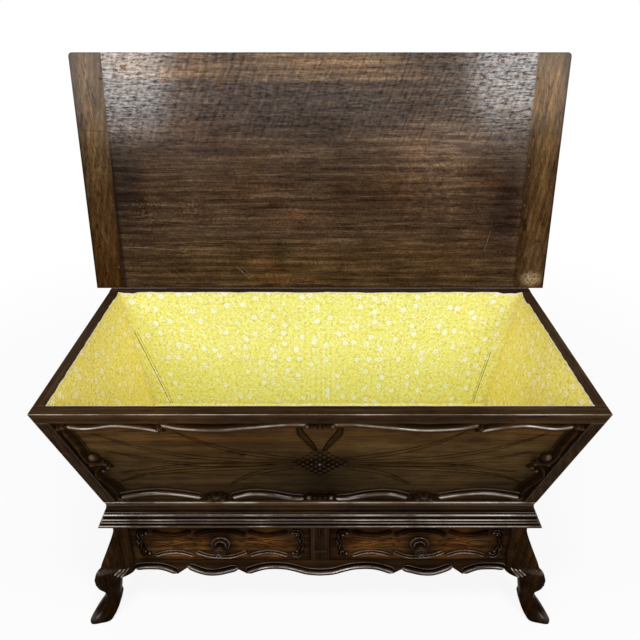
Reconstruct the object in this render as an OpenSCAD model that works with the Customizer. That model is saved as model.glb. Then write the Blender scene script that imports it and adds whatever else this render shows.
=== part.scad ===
// Kneading trough on a low stand with two drawers and cabriole legs.
// The raked trough is papered inside, its carved front is a framed panel, and its lid stands open.
// X runs along the front, -Y is the front, +Z is up, and the floor is Z = 0.

/* [Trough] */
// Length over the rim
rim_w = 1217; // [1000:1:1400]
// Depth over the rim
rim_d = 591.5; // [500:0.5:680]
// Height of the raked boards
trough_h = 342; // [300:1:380]
// Rake of the two ends from upright
end_rake = 13.4; // [8:0.1:16]
// Rake of the front and back from upright
side_rake = 13; // [8:0.1:15]
// Horizontal thickness of the framed front
front_t = 30; // [26:0.5:36]
// Horizontal thickness of the two end boards
end_t = 25; // [18:0.5:32]
// Horizontal thickness of the back board
back_t = 22; // [18:0.5:30]
// Thickness of the trough's floor board
floor_t = 16; // [12:0.5:20]
// Thickness of the paper lining
paper_t = 1.2; // [0.8:0.1:2]
// Drop of the lining's top edge below the rim
paper_drop = 3; // [2:0.5:12]

/* [Carved front] */
// Height of the front's top rail along the slope
rail_h = 30; // [24:0.5:40]
// Height of the front's bottom rail along the slope
bottom_rail_h = 12; // [10:0.5:20]
// Width of the two raked stiles
stile_w = 30; // [24:0.5:44]
// Depth of the panel's ground below the frame
panel_sink = 8; // [5:0.5:10]
// Length of the panel's tongue in the frame's groove
tongue = 6; // [4:0.5:8]
// Width of the cartouche's round moulding
torus_w = 18; // [12:0.5:22]
// Height of the cartouche's round moulding above the ground
torus_h = 11; // [7:0.5:14]
// Radius of the volute ball at each side
volute_r = 13; // [9:0.5:16]

/* [Foot and cornice] */
// Height of the trough's foot frame
foot_h = 35; // [32:0.5:44]
// Width of the foot frame's strips
foot_w = 40; // [34:0.5:50]
// Radius of the foot's round moulding
foot_round = 7; // [5:0.5:8]
// Height of the stand's cornice
cornice_h = 21; // [19:0.5:24]
// Projection of the cornice beyond the posts
cornice_out = 24.5; // [20:0.5:30]

/* [Stand] */
// Height of the stand
base_h = 316; // [300:1:340]
// Inset of the posts from the trough's lower edge
base_inset = 3; // [1:0.5:8]
// Width of a post's square top
post_w = 37; // [32:0.5:48]
// Height of the rail above the drawers
top_rail_h = 36; // [32:0.5:44]
// Height of the drawer openings
bay_h = 130; // [110:1:140]
// Thickness of the front rail and the apron
rail_t = 22; // [18:0.5:28]
// Thickness of the sides and the back
board_t = 20; // [16:0.5:24]
// Setback of the side boards from the posts' faces
board_set = 2; // [1:0.5:4]
// Width of the stile between the drawers
divider_w = 47; // [40:0.5:60]
// Depth of the scalloped apron at its lobes
apron_h = 65; // [55:1:75]
// Radius of the apron's edge bead
bead_r = 6.5; // [4:0.5:8]
// Reach of a foot beyond its post
foot_out = 81; // [66:1:81]
// Thickness of a leg at the knee
knee_t = 60; // [50:1:66]

/* [Drawers] */
// Gap around a drawer's front
drawer_gap = 1; // [0.6:0.1:2]
// Thickness of a drawer's front
drawer_front_t = 20; // [16:0.5:24]
// Thickness of a drawer's sides and back
drawer_side_t = 10; // [8:0.5:14]
// Thickness of a drawer's bottom
drawer_bottom_t = 6; // [5:0.5:8]
// Free space behind a drawer
drawer_rear = 18; // [10:1:30]
// Width of the drawer's carved moulding
drawer_mould_w = 9; // [6:0.5:12]
// Height of the drawer's carved moulding
drawer_mould_h = 5; // [3:0.5:7]
// Diameter of the knob's flange
knob_d = 48; // [36:1:54]
// Projection of the knob
knob_out = 44; // [34:1:50]

/* [Lid] */
// Length of the lid
lid_w = 1300; // [1100:1:1480]
// Depth of the lid
lid_d = 632; // [540:1:720]
// Thickness of the lid
lid_t = 24; // [20:0.5:30]
// Opening angle at which the lid stands
lid_open = 100; // [95:1:108]
// Width of the front plank
front_plank_d = 157; // [110:1:220]
// Width of the left cleat at the lid's front edge
left_cleat_front = 84; // [60:1:100]
// Width of the left cleat at the hinges
left_cleat_back = 75; // [55:1:100]
// Width of the right cleat at the lid's front edge
right_cleat_front = 87; // [60:1:100]
// Width of the right cleat at the hinges
right_cleat_back = 85; // [55:1:100]
// Radius of the lid's corners
lid_corner = 10; // [4:1:20]

/* [Hinges] */
// Distance of a hinge's middle from the lid's end
hinge_inset = 250; // [180:1:400]
// Length of a hinge
hinge_l = 90; // [60:1:120]
// Radius of a hinge's knuckles
knuckle_r = 3.5; // [3:0.1:4.5]
// Radius of a hinge's pin
hinge_pin_r = 1.6; // [1.2:0.1:2]
// Length of the fixed leaf down the back
fixed_leaf_l = 26; // [20:0.5:34]
// Length of the lid's leaf
lid_leaf_l = 19; // [14:0.5:19]
// Thickness of a leaf
leaf_t = 2; // [1.5:0.1:2.5]

/* [Hidden] */

// Clearance of fitted pieces, gap between pieces that move or rest, and reach of a cut past the wood
fit = 0.2;
gap = 0.3;
pin_clearance = 0.05;
over = 1;
far = 900;
walnut = "#5b3a20";
dark_walnut = "#33200f";
honey_walnut = "#7a4f22";
lid_walnut = "#4a2f1d";
paper = "#ecd052";
iron = "#2c2a28";

// Heights
foot_z = base_h;
foot_top = foot_z + foot_h;
rim_h = foot_top + trough_h;
apron_top = base_h - top_rail_h - bay_h;
bay_top = apron_top + bay_h;

// Slopes of the raked boards
end_slope = tan(end_rake);
side_slope = tan(side_rake);
slope_len = trough_h / cos(side_rake);
function half_at(z) = rim_w / 2 - (rim_h - z) * end_slope;
function front_at(z) = (rim_h - z) * side_slope;
function back_at(z) = rim_d - (rim_h - z) * side_slope;
sole_half = half_at(foot_top);
sole_front = front_at(foot_top);
sole_back = back_at(foot_top);

// Stand
post_x = sole_half - base_inset;
post_y = sole_front + base_inset;
post_back = sole_back - base_inset;
bay_x = post_x - post_w;
back_y = post_back - board_set - board_t;

// Lid hinge axis, on the back edge of the rim
hinge_x = lid_w / 2 - hinge_inset;
axis_y = rim_d;
axis_z = rim_h + gap / 2;
lid_z = rim_h + gap;

// The middle of the whole object in Y, with its lid open
lid_reach = -lid_d * cos(lid_open) + (lid_t + gap / 2) * sin(lid_open);
front_most = min(0, post_y - foot_out);
back_most = max(rim_d + lid_reach, post_back + foot_out);
middle_y = (front_most + back_most) / 2;

// Drawers
drawer_half = (bay_x - divider_w / 2) / 2 - drawer_gap;
drawer_x = (bay_x + divider_w / 2) / 2;
drawer_z = apron_top + drawer_gap;
drawer_h = bay_h - 2 * drawer_gap;
box_drop = 2;
box_h = drawer_h - box_drop;
box_end = back_y - drawer_rear;
groove_z = 8;
groove_depth = 5;

// A smooth curve through points, n steps to a span
function between(a, b, c, d, t) =
    0.5 * (2 * b + (c - a) * t + (2 * a - 5 * b + 4 * c - d) * t * t
    + (3 * b - a - 3 * c + d) * t * t * t);
function smooth(p, n) = [
    for (i = [0:len(p) - 2])
        for (j = [0:n - 1])
            between(p[max(i - 1, 0)], p[i], p[i + 1], p[min(i + 2, len(p) - 1)], j / n),
    p[len(p) - 1],
];

// Triangles over a stack of rings with equally many points
function ring_faces(n, m) = [
    [for (j = [0:m - 1]) j],
    [for (j = [0:m - 1]) n * m - 1 - j],
    for (i = [0:n - 2])
        for (j = [0:m - 1])
            let (k = (j + 1) % m)
            each [
                [i * m + j, (i + 1) * m + j, (i + 1) * m + k],
                [i * m + j, (i + 1) * m + k, i * m + k],
            ],
];
module skin(rings) {
    polyhedron(points = [for (r = rings) each r], faces = ring_faces(len(rings), len(rings[0])));
}

// A half-round moulding swept along a flat path and sunk a little into its ground.
// It swells from `ends` of its size at both ends.
function tangent(p, i) = let (d = p[min(i + 1, len(p) - 1)] - p[max(i - 1, 0)]) d / norm(d);
module bead(path, w, h, ends = 0.6, steps = 5, sunk = 1) {
    n = len(path);
    skin([
        for (i = [0:n - 1])
            let (
                t = tangent(path, i),
                side = [-t[1], t[0]],
                swell = 1 - (1 - ends) * pow(abs(2 * i / (n - 1) - 1), 6)
            )
            [
                for (j = [0:steps])
                    let (
                        a = 180 * j / steps,
                        p = path[i] + side * (w / 2 * cos(a) * swell)
                    )
                    [p[0], p[1], j == 0 || j == steps ? -sunk : h * sin(a) * swell],
            ],
    ]);
}

// Frames to draw in: the raked front's own plane, and the prisms that bound the raked boards
module on_front() {
    translate([0, 0, rim_h]) rotate([90 + side_rake, 0, 0]) children();
}
module along_x(half) {
    translate([-half, 0, 0]) rotate([90, 0, 90]) linear_extrude(2 * half) children();
}
module along_y(y0, y1) {
    translate([0, y1, 0]) rotate([90, 0, 0]) linear_extrude(y1 - y0) children();
}

// Outline in X and Z between the two raked ends, drawn in by `inset`
module end_outline(inset = 0, z0 = foot_top, z1 = rim_h) {
    polygon([
        [-half_at(z0) + inset, z0],
        [half_at(z0) - inset, z0],
        [half_at(z1) - inset, z1],
        [-half_at(z1) + inset, z1],
    ]);
}
// Outline in Y and Z of a slab parallel to the front, from depth a to depth b
module front_slab(a, b, z0 = foot_top, z1 = rim_h) {
    polygon([
        [front_at(z0) + a, z0],
        [front_at(z0) + b, z0],
        [front_at(z1) + b, z1],
        [front_at(z1) + a, z1],
    ]);
}
// The same, parallel to the back
module back_slab(a, b, z0 = foot_top, z1 = rim_h) {
    polygon([
        [back_at(z0) - b, z0],
        [back_at(z0) - a, z0],
        [back_at(z1) - a, z1],
        [back_at(z1) - b, z1],
    ]);
}
// Outline in Y and Z of the hollow between front and back
module hollow_outline(front_inset, back_inset, z0 = foot_top, z1 = rim_h) {
    polygon([
        [front_at(z0) + front_inset, z0],
        [back_at(z0) - back_inset, z0],
        [back_at(z1) - back_inset, z1],
        [front_at(z1) + front_inset, z1],
    ]);
}
// Outline in X and Z of a slab parallel to the right end
module end_slab(a, b, z0 = foot_top, z1 = rim_h) {
    polygon([
        [half_at(z0) - b, z0],
        [half_at(z0) - a, z0],
        [half_at(z1) - a, z1],
        [half_at(z1) - b, z1],
    ]);
}

// The framed front
module front_board(a, b) {
    intersection() {
        along_x(far) front_slab(a, b);
        along_y(-far, far) end_outline();
    }
}
// The part of the front plane between two distances down the slope
module slope_band(s0, s1) {
    on_front() translate([-far, -s1, -2 * front_t]) cube([2 * far, s1 - s0, 3 * front_t]);
}
// The panel's tongue, or with `more` the groove that holds it
groove_lip = 5;
groove_back = 8;
tongue_front = panel_sink + groove_lip;
tongue_back = front_t - groove_back;
module tongue_body(more) {
    intersection() {
        front_board(tongue_front - more, tongue_back + more);
        slope_band(rail_h - tongue - more, slope_len - bottom_rail_h + tongue + more);
        along_y(-far, far) end_outline(stile_w - tongue - more, foot_top - over, rim_h + over);
    }
}
module frame_band(s0, s1) {
    difference() {
        intersection() {
            front_board(0, front_t);
            slope_band(s0, s1);
        }
        tongue_body(fit);
    }
}
module trough_rail_top() {
    color(walnut) place() frame_band(-front_t, rail_h);
}
module trough_rail_bottom() {
    color(walnut) place() frame_band(slope_len - bottom_rail_h, slope_len + front_t);
}
module stile() {
    intersection() {
        frame_band(rail_h, slope_len - bottom_rail_h);
        along_y(-far, far) end_slab(0, stile_w);
    }
}
module trough_stile_left() {
    color(walnut) place() mirror([1, 0, 0]) stile();
}
module trough_stile_right() {
    color(walnut) place() stile();
}

// A place on the carved ground: f across from the middle, g down, both as shares of the opening
panel_h = slope_len - rail_h - bottom_rail_h;
across_slope = end_slope * cos(side_rake);
function on_ground(f, g) =
    let (s = rail_h + g * panel_h)
    [f * (rim_w / 2 - s * across_slope - stile_w), -s];
function ground_path(p, n) = smooth([for (q = p) on_ground(q[0], q[1])], n);
ground_z = -panel_sink * cos(side_rake);

// Centre lines of the right half of the cartouche
top_outer = [[0.951, 0.050], [0.881, 0.072], [0.761, 0.042], [0.638, 0.088]];
top_inner = [[0.582, 0.046], [0.523, 0.074], [0.393, 0.090], [0.259, 0.064], [0.126, 0.038], [0.064, 0.038]];
low_outer = [[0.940, 0.930], [0.847, 0.892], [0.753, 0.876], [0.661, 0.899], [0.570, 0.944]];
low_inner = [[0.425, 0.940], [0.327, 0.889], [0.237, 0.899], [0.139, 0.948], [0.072, 0.953]];
side_upper = [[0.965, 0.080], [0.948, 0.170], [0.946, 0.270], [0.958, 0.370], [0.952, 0.440]];
side_lower = [[0.938, 0.580], [0.962, 0.660], [0.944, 0.760], [0.946, 0.860], [0.962, 0.930]];
volute = [0.930, 0.400];
small_volute = [0.915, 0.560];
fillet_shift = 19;
fillet_w = 5;
fillet_h = 5;

// One run of the cartouche: the round moulding, and the narrow fillet on its field side
module cartouche_run(p, field_side) {
    path = ground_path(p, 4);
    bead(path, torus_w, torus_h);
    bead([for (q = path) q + [0, field_side * fillet_shift]], fillet_w, fillet_h, 1, 3);
}
// A leaf's outline in shares of the round moulding's width
leaf_outline = [
    [-1.44, -0.67],
    [-0.78, 0.22],
    [-1, 1],
    [0, 0.56],
    [1, 1],
    [0.78, 0.22],
    [1.44, -0.67],
    [0, -0.89],
];
module leaf_block(f, g, turn) {
    p = on_ground(f, g);
    translate([p[0], p[1], -over]) rotate(turn) linear_extrude(torus_h) polygon(leaf_outline * torus_w);
}
// Balls and flutes at the middle of the top and bottom mouldings
flute_r = 5;
flute_l = 26;
flute_step = 11;
end_ball_r = 8;
module middle_ornament(g) {
    p = on_ground(0, g);
    translate([0, p[1], 0]) {
        translate([-2 * flute_step, -2 * flute_r, -over]) cube([4 * flute_step, 4 * flute_r, flute_r + over]);
        for (i = [-1:1])
            translate([i * flute_step, -flute_l / 2, flute_r / 2]) rotate([-90, 0, 0])
                cylinder(h = flute_l, r = flute_r, $fn = 32);
        for (side = [-1, 1])
            translate([side * (2 * flute_step + end_ball_r / 2), 0, end_ball_r / 2])
                sphere(r = end_ball_r, $fn = 32);
    }
}
// The diamond of small flowers in the middle of the panel
rosette_g = 0.48;
petal_r = 6;
module rosette() {
    p = on_ground(0, rosette_g);
    translate([0, p[1], 0]) {
        sphere(r = petal_r * 1.3, $fn = 32);
        for (i = [0:5])
            rotate(60 * i) translate([petal_r * 2.5, 0, 0]) sphere(r = petal_r, $fn = 24);
        for (side = [-1, 1])
            for (i = [0:2])
                translate([side * petal_r * (5.2 + 2 * i), 0, 0])
                    sphere(r = petal_r * (1 - 0.17 * i), $fn = 24);
        for (side = [-1, 1])
            for (i = [0:1])
                translate([0, side * petal_r * (4.8 + 1.8 * i), 0])
                    sphere(r = petal_r * (0.83 - 0.17 * i), $fn = 24);
    }
}
module cartouche_half() {
    cartouche_run(top_outer, -1);
    cartouche_run(top_inner, -1);
    cartouche_run(low_outer, 1);
    cartouche_run(low_inner, 1);
    bead(ground_path(side_upper, 4), torus_w, torus_h);
    bead(ground_path(side_lower, 4), torus_w, torus_h);
    for (v = [[volute, volute_r], [small_volute, 0.65 * volute_r]]) {
        p = on_ground(v[0][0], v[0][1]);
        translate([p[0], p[1], over]) sphere(r = v[1], $fn = 48);
    }
    leaf_block(0.497, 0.915, 0);
    leaf_block(0.610, 0.062, 180);
}
module trough_panel() {
    color(honey_walnut) place() {
        intersection() {
            front_board(panel_sink, front_t);
            slope_band(rail_h + fit, slope_len - bottom_rail_h - fit);
            along_y(-far, far) end_outline(stile_w + fit, foot_top - over, rim_h + over);
        }
        tongue_body(0);
        intersection() {
            on_front() translate([0, 0, ground_z]) {
                cartouche_half();
                mirror([1, 0, 0]) cartouche_half();
                middle_ornament(0.045);
                middle_ornament(0.935);
                rosette();
            }
            along_x(far) front_slab(-far, panel_sink + 2 * over);
        }
    }
}

// The back and the ends
module hinge_mortises() {
    for (side = [-1, 1])
        translate([side * hinge_x, axis_y, axis_z]) {
            knuckle_pocket();
            rotate([-side_rake, 0, 0]) leaf_plate(fixed_leaf_l + fit, fit);
        }
}
module trough_back() {
    color(walnut) place() difference() {
        intersection() {
            along_x(far) back_slab(0, back_t);
            along_y(-far, far) end_outline();
        }
        hinge_mortises();
        fixed_screws(fit / 2);
    }
}
module end_board() {
    intersection() {
        along_y(-far, far) end_slab(0, end_t);
        along_x(far) hollow_outline(front_t, back_t);
    }
}
module trough_end_left() {
    color(walnut) place() mirror([1, 0, 0]) end_board();
}
module trough_end_right() {
    color(walnut) place() end_board();
}
floor_bearing = 12;
floor_in = foot_w - floor_bearing;
module trough_floor() {
    color(walnut) place()
        translate([-sole_half + floor_in + fit, sole_front + floor_in + fit, foot_top - floor_t])
            cube([
                2 * (sole_half - floor_in - fit),
                sole_back - sole_front - 2 * (floor_in + fit),
                floor_t,
            ]);
}

// The paper lining, a thin sheet on each wall and on the floor
paper_z0 = foot_top + paper_t;
paper_z1 = rim_h - paper_drop;
module lining_front() {
    color(paper) place() intersection() {
        along_x(far) front_slab(front_t, front_t + paper_t, foot_top, paper_z1);
        along_y(-far, far) end_outline(end_t);
    }
}
module lining_back() {
    color(paper) place() intersection() {
        along_x(far) back_slab(back_t, back_t + paper_t, foot_top, paper_z1);
        along_y(-far, far) end_outline(end_t);
    }
}
module end_lining() {
    intersection() {
        along_y(-far, far) end_slab(end_t, end_t + paper_t, foot_top, paper_z1);
        along_x(far) hollow_outline(front_t + paper_t, back_t + paper_t);
    }
}
module lining_left() {
    color(paper) place() mirror([1, 0, 0]) end_lining();
}
module lining_right() {
    color(paper) place() end_lining();
}
module lining_floor() {
    color(paper) place() intersection() {
        along_y(-far, far) end_outline(end_t + paper_t, foot_top, paper_z0);
        along_x(far) hollow_outline(front_t + paper_t, back_t + paper_t, foot_top, paper_z0);
    }
}

// Moulded strips: drawn with U outwards from the face and Z up, and mitred at the front corners
mitre = 1.5 * foot_w;
module front_strip(half, y) {
    intersection() {
        translate([-half - mitre, y, 0]) rotate([90, 0, 90]) mirror([1, 0, 0])
            linear_extrude(2 * (half + mitre)) children();
        linear_extrude(far) polygon([
            [-half - mitre, y - mitre],
            [half + mitre, y - mitre],
            [half - mitre, y + mitre],
            [-half + mitre, y + mitre],
        ]);
    }
}
module side_strip(half, y, y_end) {
    intersection() {
        translate([half, y_end, 0]) rotate([90, 0, 0]) linear_extrude(y_end - y + mitre) children();
        linear_extrude(far) polygon([
            [half + mitre, y - mitre],
            [half + mitre, y_end],
            [half - mitre, y_end],
            [half - mitre, y + mitre],
        ]);
    }
}
foot_groove = 2.5;
foot_rebate = 3;
foot_step = 5;
foot_band = foot_h - foot_rebate - 2 * foot_round - foot_step;
module foot_section() {
    round_z = foot_z + foot_rebate + foot_round;
    difference() {
        union() {
            translate([-foot_w, foot_z]) square([foot_w, foot_h]);
            translate([-over, foot_z + foot_rebate])
                square([over + foot_groove, foot_h - foot_rebate - foot_band]);
            translate([foot_groove, round_z]) circle(r = foot_round, $fn = 48);
        }
        translate([-foot_w - over, foot_top - floor_t]) square([floor_bearing + over, floor_t + over]);
    }
}
module foot_front() {
    color(dark_walnut) place() front_strip(sole_half, sole_front) foot_section();
}
module foot_left() {
    color(dark_walnut) place() mirror([1, 0, 0]) foot_right_body();
}
module foot_right_body() {
    side_strip(sole_half, sole_front, sole_back) foot_section();
}
module foot_right() {
    color(dark_walnut) place() foot_right_body();
}
module foot_back() {
    color(dark_walnut) place() difference() {
        translate([-sole_half + foot_w, sole_back - foot_w, foot_z])
            cube([2 * (sole_half - foot_w), foot_w, foot_h]);
        translate([-far, sole_back - foot_w - over, foot_top - floor_t])
            cube([2 * far, floor_bearing + over, floor_t + over]);
    }
}

// Cornice of the stand: a fillet, a hollow and a bead
cornice_drop = 1;
cornice_fillet = 5;
cornice_bead = 3;
module cornice_section() {
    z0 = base_h - cornice_drop - cornice_h;
    hollow_r = cornice_h - cornice_fillet - 2 * cornice_bead;
    difference() {
        translate([0, z0]) square([cornice_out, cornice_h]);
        translate([cornice_out, z0 + cornice_fillet + hollow_r])
            circle(r = hollow_r, $fn = 48);
        translate([cornice_out - hollow_r, z0 + cornice_fillet + hollow_r])
            square([hollow_r + over, 2 * cornice_bead + over]);
    }
    translate([cornice_out - hollow_r - over, z0 + cornice_h - cornice_bead])
        circle(r = cornice_bead, $fn = 32);
}
module cornice_front() {
    color(dark_walnut) place() front_strip(post_x, post_y) cornice_section();
}
module cornice_side() {
    side_strip(post_x, post_y, post_back) cornice_section();
}
module cornice_left() {
    color(dark_walnut) place() mirror([1, 0, 0]) cornice_side();
}
module cornice_right() {
    color(dark_walnut) place() cornice_side();
}

// Cabriole legs, each in one piece with its post.
// A row is height of the outer corner, its reach, thickness, reach of the side faces, roundness, and
// droop of the other corners. Heights to 1 are shares of the apron's top, and above 1 of the drawer
// opening over it. Reach is a share of the foot's reach, thickness of the knee's, where 0 is as deep
// as the post, and droop of the apron's top.
leg_rows = [
    [0.000, 0.975, 0.88, 0.90, 0.36, 0],
    [0.035, 1.000, 0.93, 0.89, 0.40, 0],
    [0.080, 0.988, 0.97, 0.90, 0.42, 0],
    [0.140, 0.938, 1.00, 0.92, 0.43, 0],
    [0.220, 0.846, 0.99, 0.94, 0.44, 0],
    [0.290, 0.741, 0.95, 0.97, 0.45, 0],
    [0.340, 0.648, 0.91, 0.99, 0.45, 0],
    [0.393, 0.599, 0.90, 0.99, 0.45, 0],
    [0.467, 0.605, 0.92, 0.99, 0.45, 0],
    [0.570, 0.673, 1.02, 0.92, 0.44, 0],
    [0.647, 0.722, 1.08, 0.72, 0.42, 0],
    [0.693, 0.744, 1.13, 0.50, 0.42, 0],
    [0.733, 0.756, 1.32, 0.31, 0.42, 0.013],
    [0.773, 0.760, 0.00, 0.16, 0.42, 0.040],
    [0.840, 0.760, 0.00, 0.15, 0.42, 0.080],
    [0.947, 0.716, 0.00, 0.16, 0.40, 0.133],
    [1.000, 0.685, 0.00, 0.16, 0.39, 0.153],
    [1.062, 0.630, 0.00, 0.17, 0.37, 0.173],
    [1.108, 0.568, 0.00, 0.17, 0.34, 0.180],
    [1.131, 0.510, 0.00, 0.13, 0.28, 0.180],
    [1.180, 0.450, 0.00, 0.11, 0.22, 0.167],
    [1.239, 0.400, 0.00, 0.10, 0.20, 0.147],
    [1.354, 0.284, 0.00, 0.09, 0.15, 0.107],
    [1.577, 0.130, 0.00, 0.10, 0.08, 0.040],
    [1.715, 0.050, 0.00, 0.05, 0.05, 0.013],
    [1.862, 0.000, 0.00, 0.00, 0.05, 0],
];
function leg_z(g) = g <= 1 ? g * apron_top : apron_top + (g - 1) * bay_h;
function corner_curve(u, v, w, k) = [
    for (t = [0:1 / 3:1.01])
        (v + (u - v) * k) * (1 - t) * (1 - t) + v * 2 * t * (1 - t) + (v + (w - v) * k) * t * t,
];
inner_round = 0.3;
function leg_ring(reach, inner, face, k, z, droop) =
    let (
        a = [inner, inner],
        b = [inner, face],
        c = [reach, reach],
        d = [face, inner],
        side_round = min(k * 0.8, inner_round)
    )
    [
        for (q = [
            each corner_curve(d, a, b, min(k, inner_round)),
            each corner_curve(a, b, c, side_round),
            each corner_curve(b, c, d, k),
            each corner_curve(c, d, a, side_round),
        ])
            [
                post_x + q[0],
                post_y - q[1],
                z - droop * (reach - min(q[0], q[1])) / (reach + post_w),
            ],
    ];
module leg() {
    skin([
        for (r = leg_rows)
            let (
                reach = r[1] * foot_out,
                inner = r[2] == 0 ? -post_w : max(-post_w, reach - r[2] * knee_t)
            )
            leg_ring(reach, inner, r[3] * reach, r[4], leg_z(r[0]), r[5] * apron_top),
        leg_ring(0, -post_w, 0, 0.05, base_h, 0),
    ]);
}
module at_back() {
    translate([0, post_y + post_back, 0]) mirror([0, 1, 0]) children();
}
module leg_front_right() {
    color(dark_walnut) place() leg();
}
module leg_front_left() {
    color(dark_walnut) place() mirror([1, 0, 0]) leg();
}
module leg_back_right() {
    color(dark_walnut) place() at_back() leg();
}
module leg_back_left() {
    color(dark_walnut) place() at_back() mirror([1, 0, 0]) leg();
}

// Rails of the stand
module stand_top_rail() {
    color(dark_walnut) place() translate([-bay_x, post_y, bay_top])
        cube([2 * bay_x, rail_t, top_rail_h]);
}
divider_margin = 8;
divider_foot = 30;
divider_sink = 3;
module drawer_divider() {
    color(dark_walnut) place() difference() {
        translate([-divider_w / 2, post_y, apron_top]) cube([divider_w, rail_t, bay_h]);
        translate([-divider_w / 2 + divider_margin, post_y - over, apron_top + divider_foot])
            cube([
                divider_w - 2 * divider_margin,
                divider_sink + over,
                bay_h - divider_foot - divider_margin,
            ]);
    }
}

// The scalloped front apron. Points are shares of its half length and of its depth.
apron_middle = [
    [0, 0.88], [0.07, 0.82], [0.136, 0.63], [0.189, 0.51], [0.259, 0.48], [0.318, 0.56], [0.398, 0.83],
];
apron_lobe = [[0.4435, 0.58], [0.493, 0.72], [0.554, 0.86], [0.612, 0.87], [0.667, 0.71], [0.719, 0.45]];
apron_outer = [[0.780, 0.85], [0.852, 0.55], [0.914, 0.50], [0.965, 0.52], [1, 0.60]];
side_middle = [[0, 0.88], [0.2, 0.79], [0.4, 0.53], [0.6, 0.58], [0.74, 0.83]];
side_outer = [[0.80, 0.63], [0.88, 0.50], [1, 0.60]];
function scallop(p, half, n) =
    smooth([for (q = p) [q[0] * half, -q[1] * apron_h]], n);
function mirrored(p) = [for (i = [0:len(p) - 1]) [-p[len(p) - 1 - i][0], p[len(p) - 1 - i][1]]];
module scallop_board(runs, half, t, top) {
    right = [for (r = runs) each scallop(r, half, 4)];
    linear_extrude(t) polygon([
        [-half, top],
        each mirrored(right),
        each right,
        [half, top],
    ]);
}
// The bead along a scalloped edge, just inside it
bead_margin = 0.8;
module scallop_beads(runs, half) {
    lift = [0, bead_r + bead_margin];
    middle = scallop(runs[0], half, 4);
    whole = [each mirrored(middle), for (i = [1:len(middle) - 1]) middle[i]];
    bead([for (q = whole) q + lift], 2 * bead_r, bead_r, 0.8);
    for (i = [1:len(runs) - 1]) {
        run = [for (q = scallop(runs[i], half - bead_r, 4)) q + lift];
        bead(run, 2 * bead_r, bead_r, 0.8);
        mirror([1, 0, 0]) bead(run, 2 * bead_r, bead_r, 0.8);
    }
}
module apron_front() {
    runs = [apron_middle, apron_lobe, apron_outer];
    color(dark_walnut) place() translate([0, post_y, apron_top]) rotate([90, 0, 0]) {
        translate([0, 0, -rail_t]) scallop_board(runs, bay_x, rail_t, 0);
        scallop_beads(runs, bay_x);
    }
}
side_half = (post_back - post_y) / 2 - post_w;
module side_board() {
    runs = [side_middle, side_outer];
    translate([post_x - board_set, (post_y + post_back) / 2, apron_top]) rotate([90, 0, 90]) {
        translate([0, 0, -board_t]) scallop_board(runs, side_half, board_t, base_h - apron_top);
        scallop_beads(runs, side_half);
    }
}
module side_left() {
    color(dark_walnut) place() mirror([1, 0, 0]) side_board();
}
module side_right() {
    color(dark_walnut) place() side_board();
}
back_drop = 20;
module stand_back() {
    color(dark_walnut) place() translate([-bay_x, back_y, apron_top - back_drop])
        cube([2 * bay_x, board_t, base_h - apron_top + back_drop]);
}

// Bearers that the drawers slide on, with guides between and beside them
runner_t = 18;
runner_w = 26;
guide_h = 36;
side_in = post_x - board_set - board_t;
runner_y = post_y + rail_t;
module bearer(z, guide) {
    translate([-divider_w / 2 - runner_w, runner_y, z])
        cube([divider_w + 2 * runner_w, back_y - runner_y, runner_t]);
    if (guide)
        translate([-divider_w / 2 + drawer_gap, runner_y, z])
            cube([divider_w - 2 * drawer_gap, back_y - runner_y, runner_t + guide_h]);
    for (side = [0, 1])
        mirror([side, 0, 0]) {
            translate([bay_x - runner_w, runner_y, z])
                cube([runner_w, back_y - runner_y, runner_t]);
            translate([bay_x - over, post_y + post_w, z])
                cube([side_in - bay_x + over, post_back - post_y - 2 * post_w, runner_t]);
            if (guide)
                translate([bay_x, post_y + post_w, z])
                    cube([side_in - bay_x, post_back - post_y - 2 * post_w, runner_t + guide_h]);
        }
}
module drawer_runners() {
    color(walnut) place() bearer(drawer_z - gap - runner_t, true);
}
module drawer_kickers() {
    color(walnut) place() bearer(bay_top, false);
}

// Drawers, drawn about the middle of their front's face, with -Y outwards
module at_drawer(side) {
    translate([side * drawer_x, post_y, drawer_z]) children();
}
box_clearance = 0.5;
box_half = drawer_half - box_clearance;
drawer_back_drop = 4;
drawer_low = [[0, 0.12], [0.14, 0.15], [0.281, 0.27]];
drawer_arch = [[0.320, 0.16], [0.42, 0.24], [0.524, 0.27], [0.64, 0.24], [0.745, 0.16]];
drawer_end = [[0.80, 0.20], [0.88, 0.18], [0.90, 0.32], [0.86, 0.42], [0.90, 0.50]];
function on_drawer(p) = smooth([for (q = p) [q[0] * drawer_half, q[1] * drawer_h]], 3);
module drawer_quarter() {
    bead(on_drawer(drawer_arch), drawer_mould_w, drawer_mould_h, 0.7, 4);
    bead(on_drawer(drawer_end), drawer_mould_w, drawer_mould_h, 0.7, 4);
}
module drawer_lower_edge() {
    low = on_drawer(drawer_low);
    whole = [each mirrored(low), for (i = [1:len(low) - 1]) low[i]];
    bead(whole, drawer_mould_w, drawer_mould_h, 0.7, 4);
    drawer_quarter();
    mirror([1, 0, 0]) drawer_quarter();
}
knob_pin_r = 6;
knob_z = drawer_h / 2;
module drawer_front() {
    difference() {
        translate([-drawer_half, 0, 0]) cube([2 * drawer_half, drawer_front_t, drawer_h]);
        translate([-box_half + drawer_side_t - groove_depth, drawer_front_t - groove_depth, groove_z])
            cube([2 * (box_half - drawer_side_t + groove_depth), groove_depth + over, drawer_bottom_t + fit]);
        translate([0, -over, knob_z]) rotate([-90, 0, 0])
            cylinder(h = drawer_front_t + 2 * over, r = knob_pin_r + pin_clearance, $fn = 48);
    }
    rotate([90, 0, 0]) {
        drawer_lower_edge();
        translate([0, drawer_h, 0]) mirror([0, 1, 0]) drawer_lower_edge();
    }
}
box_y = drawer_front_t;
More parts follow.
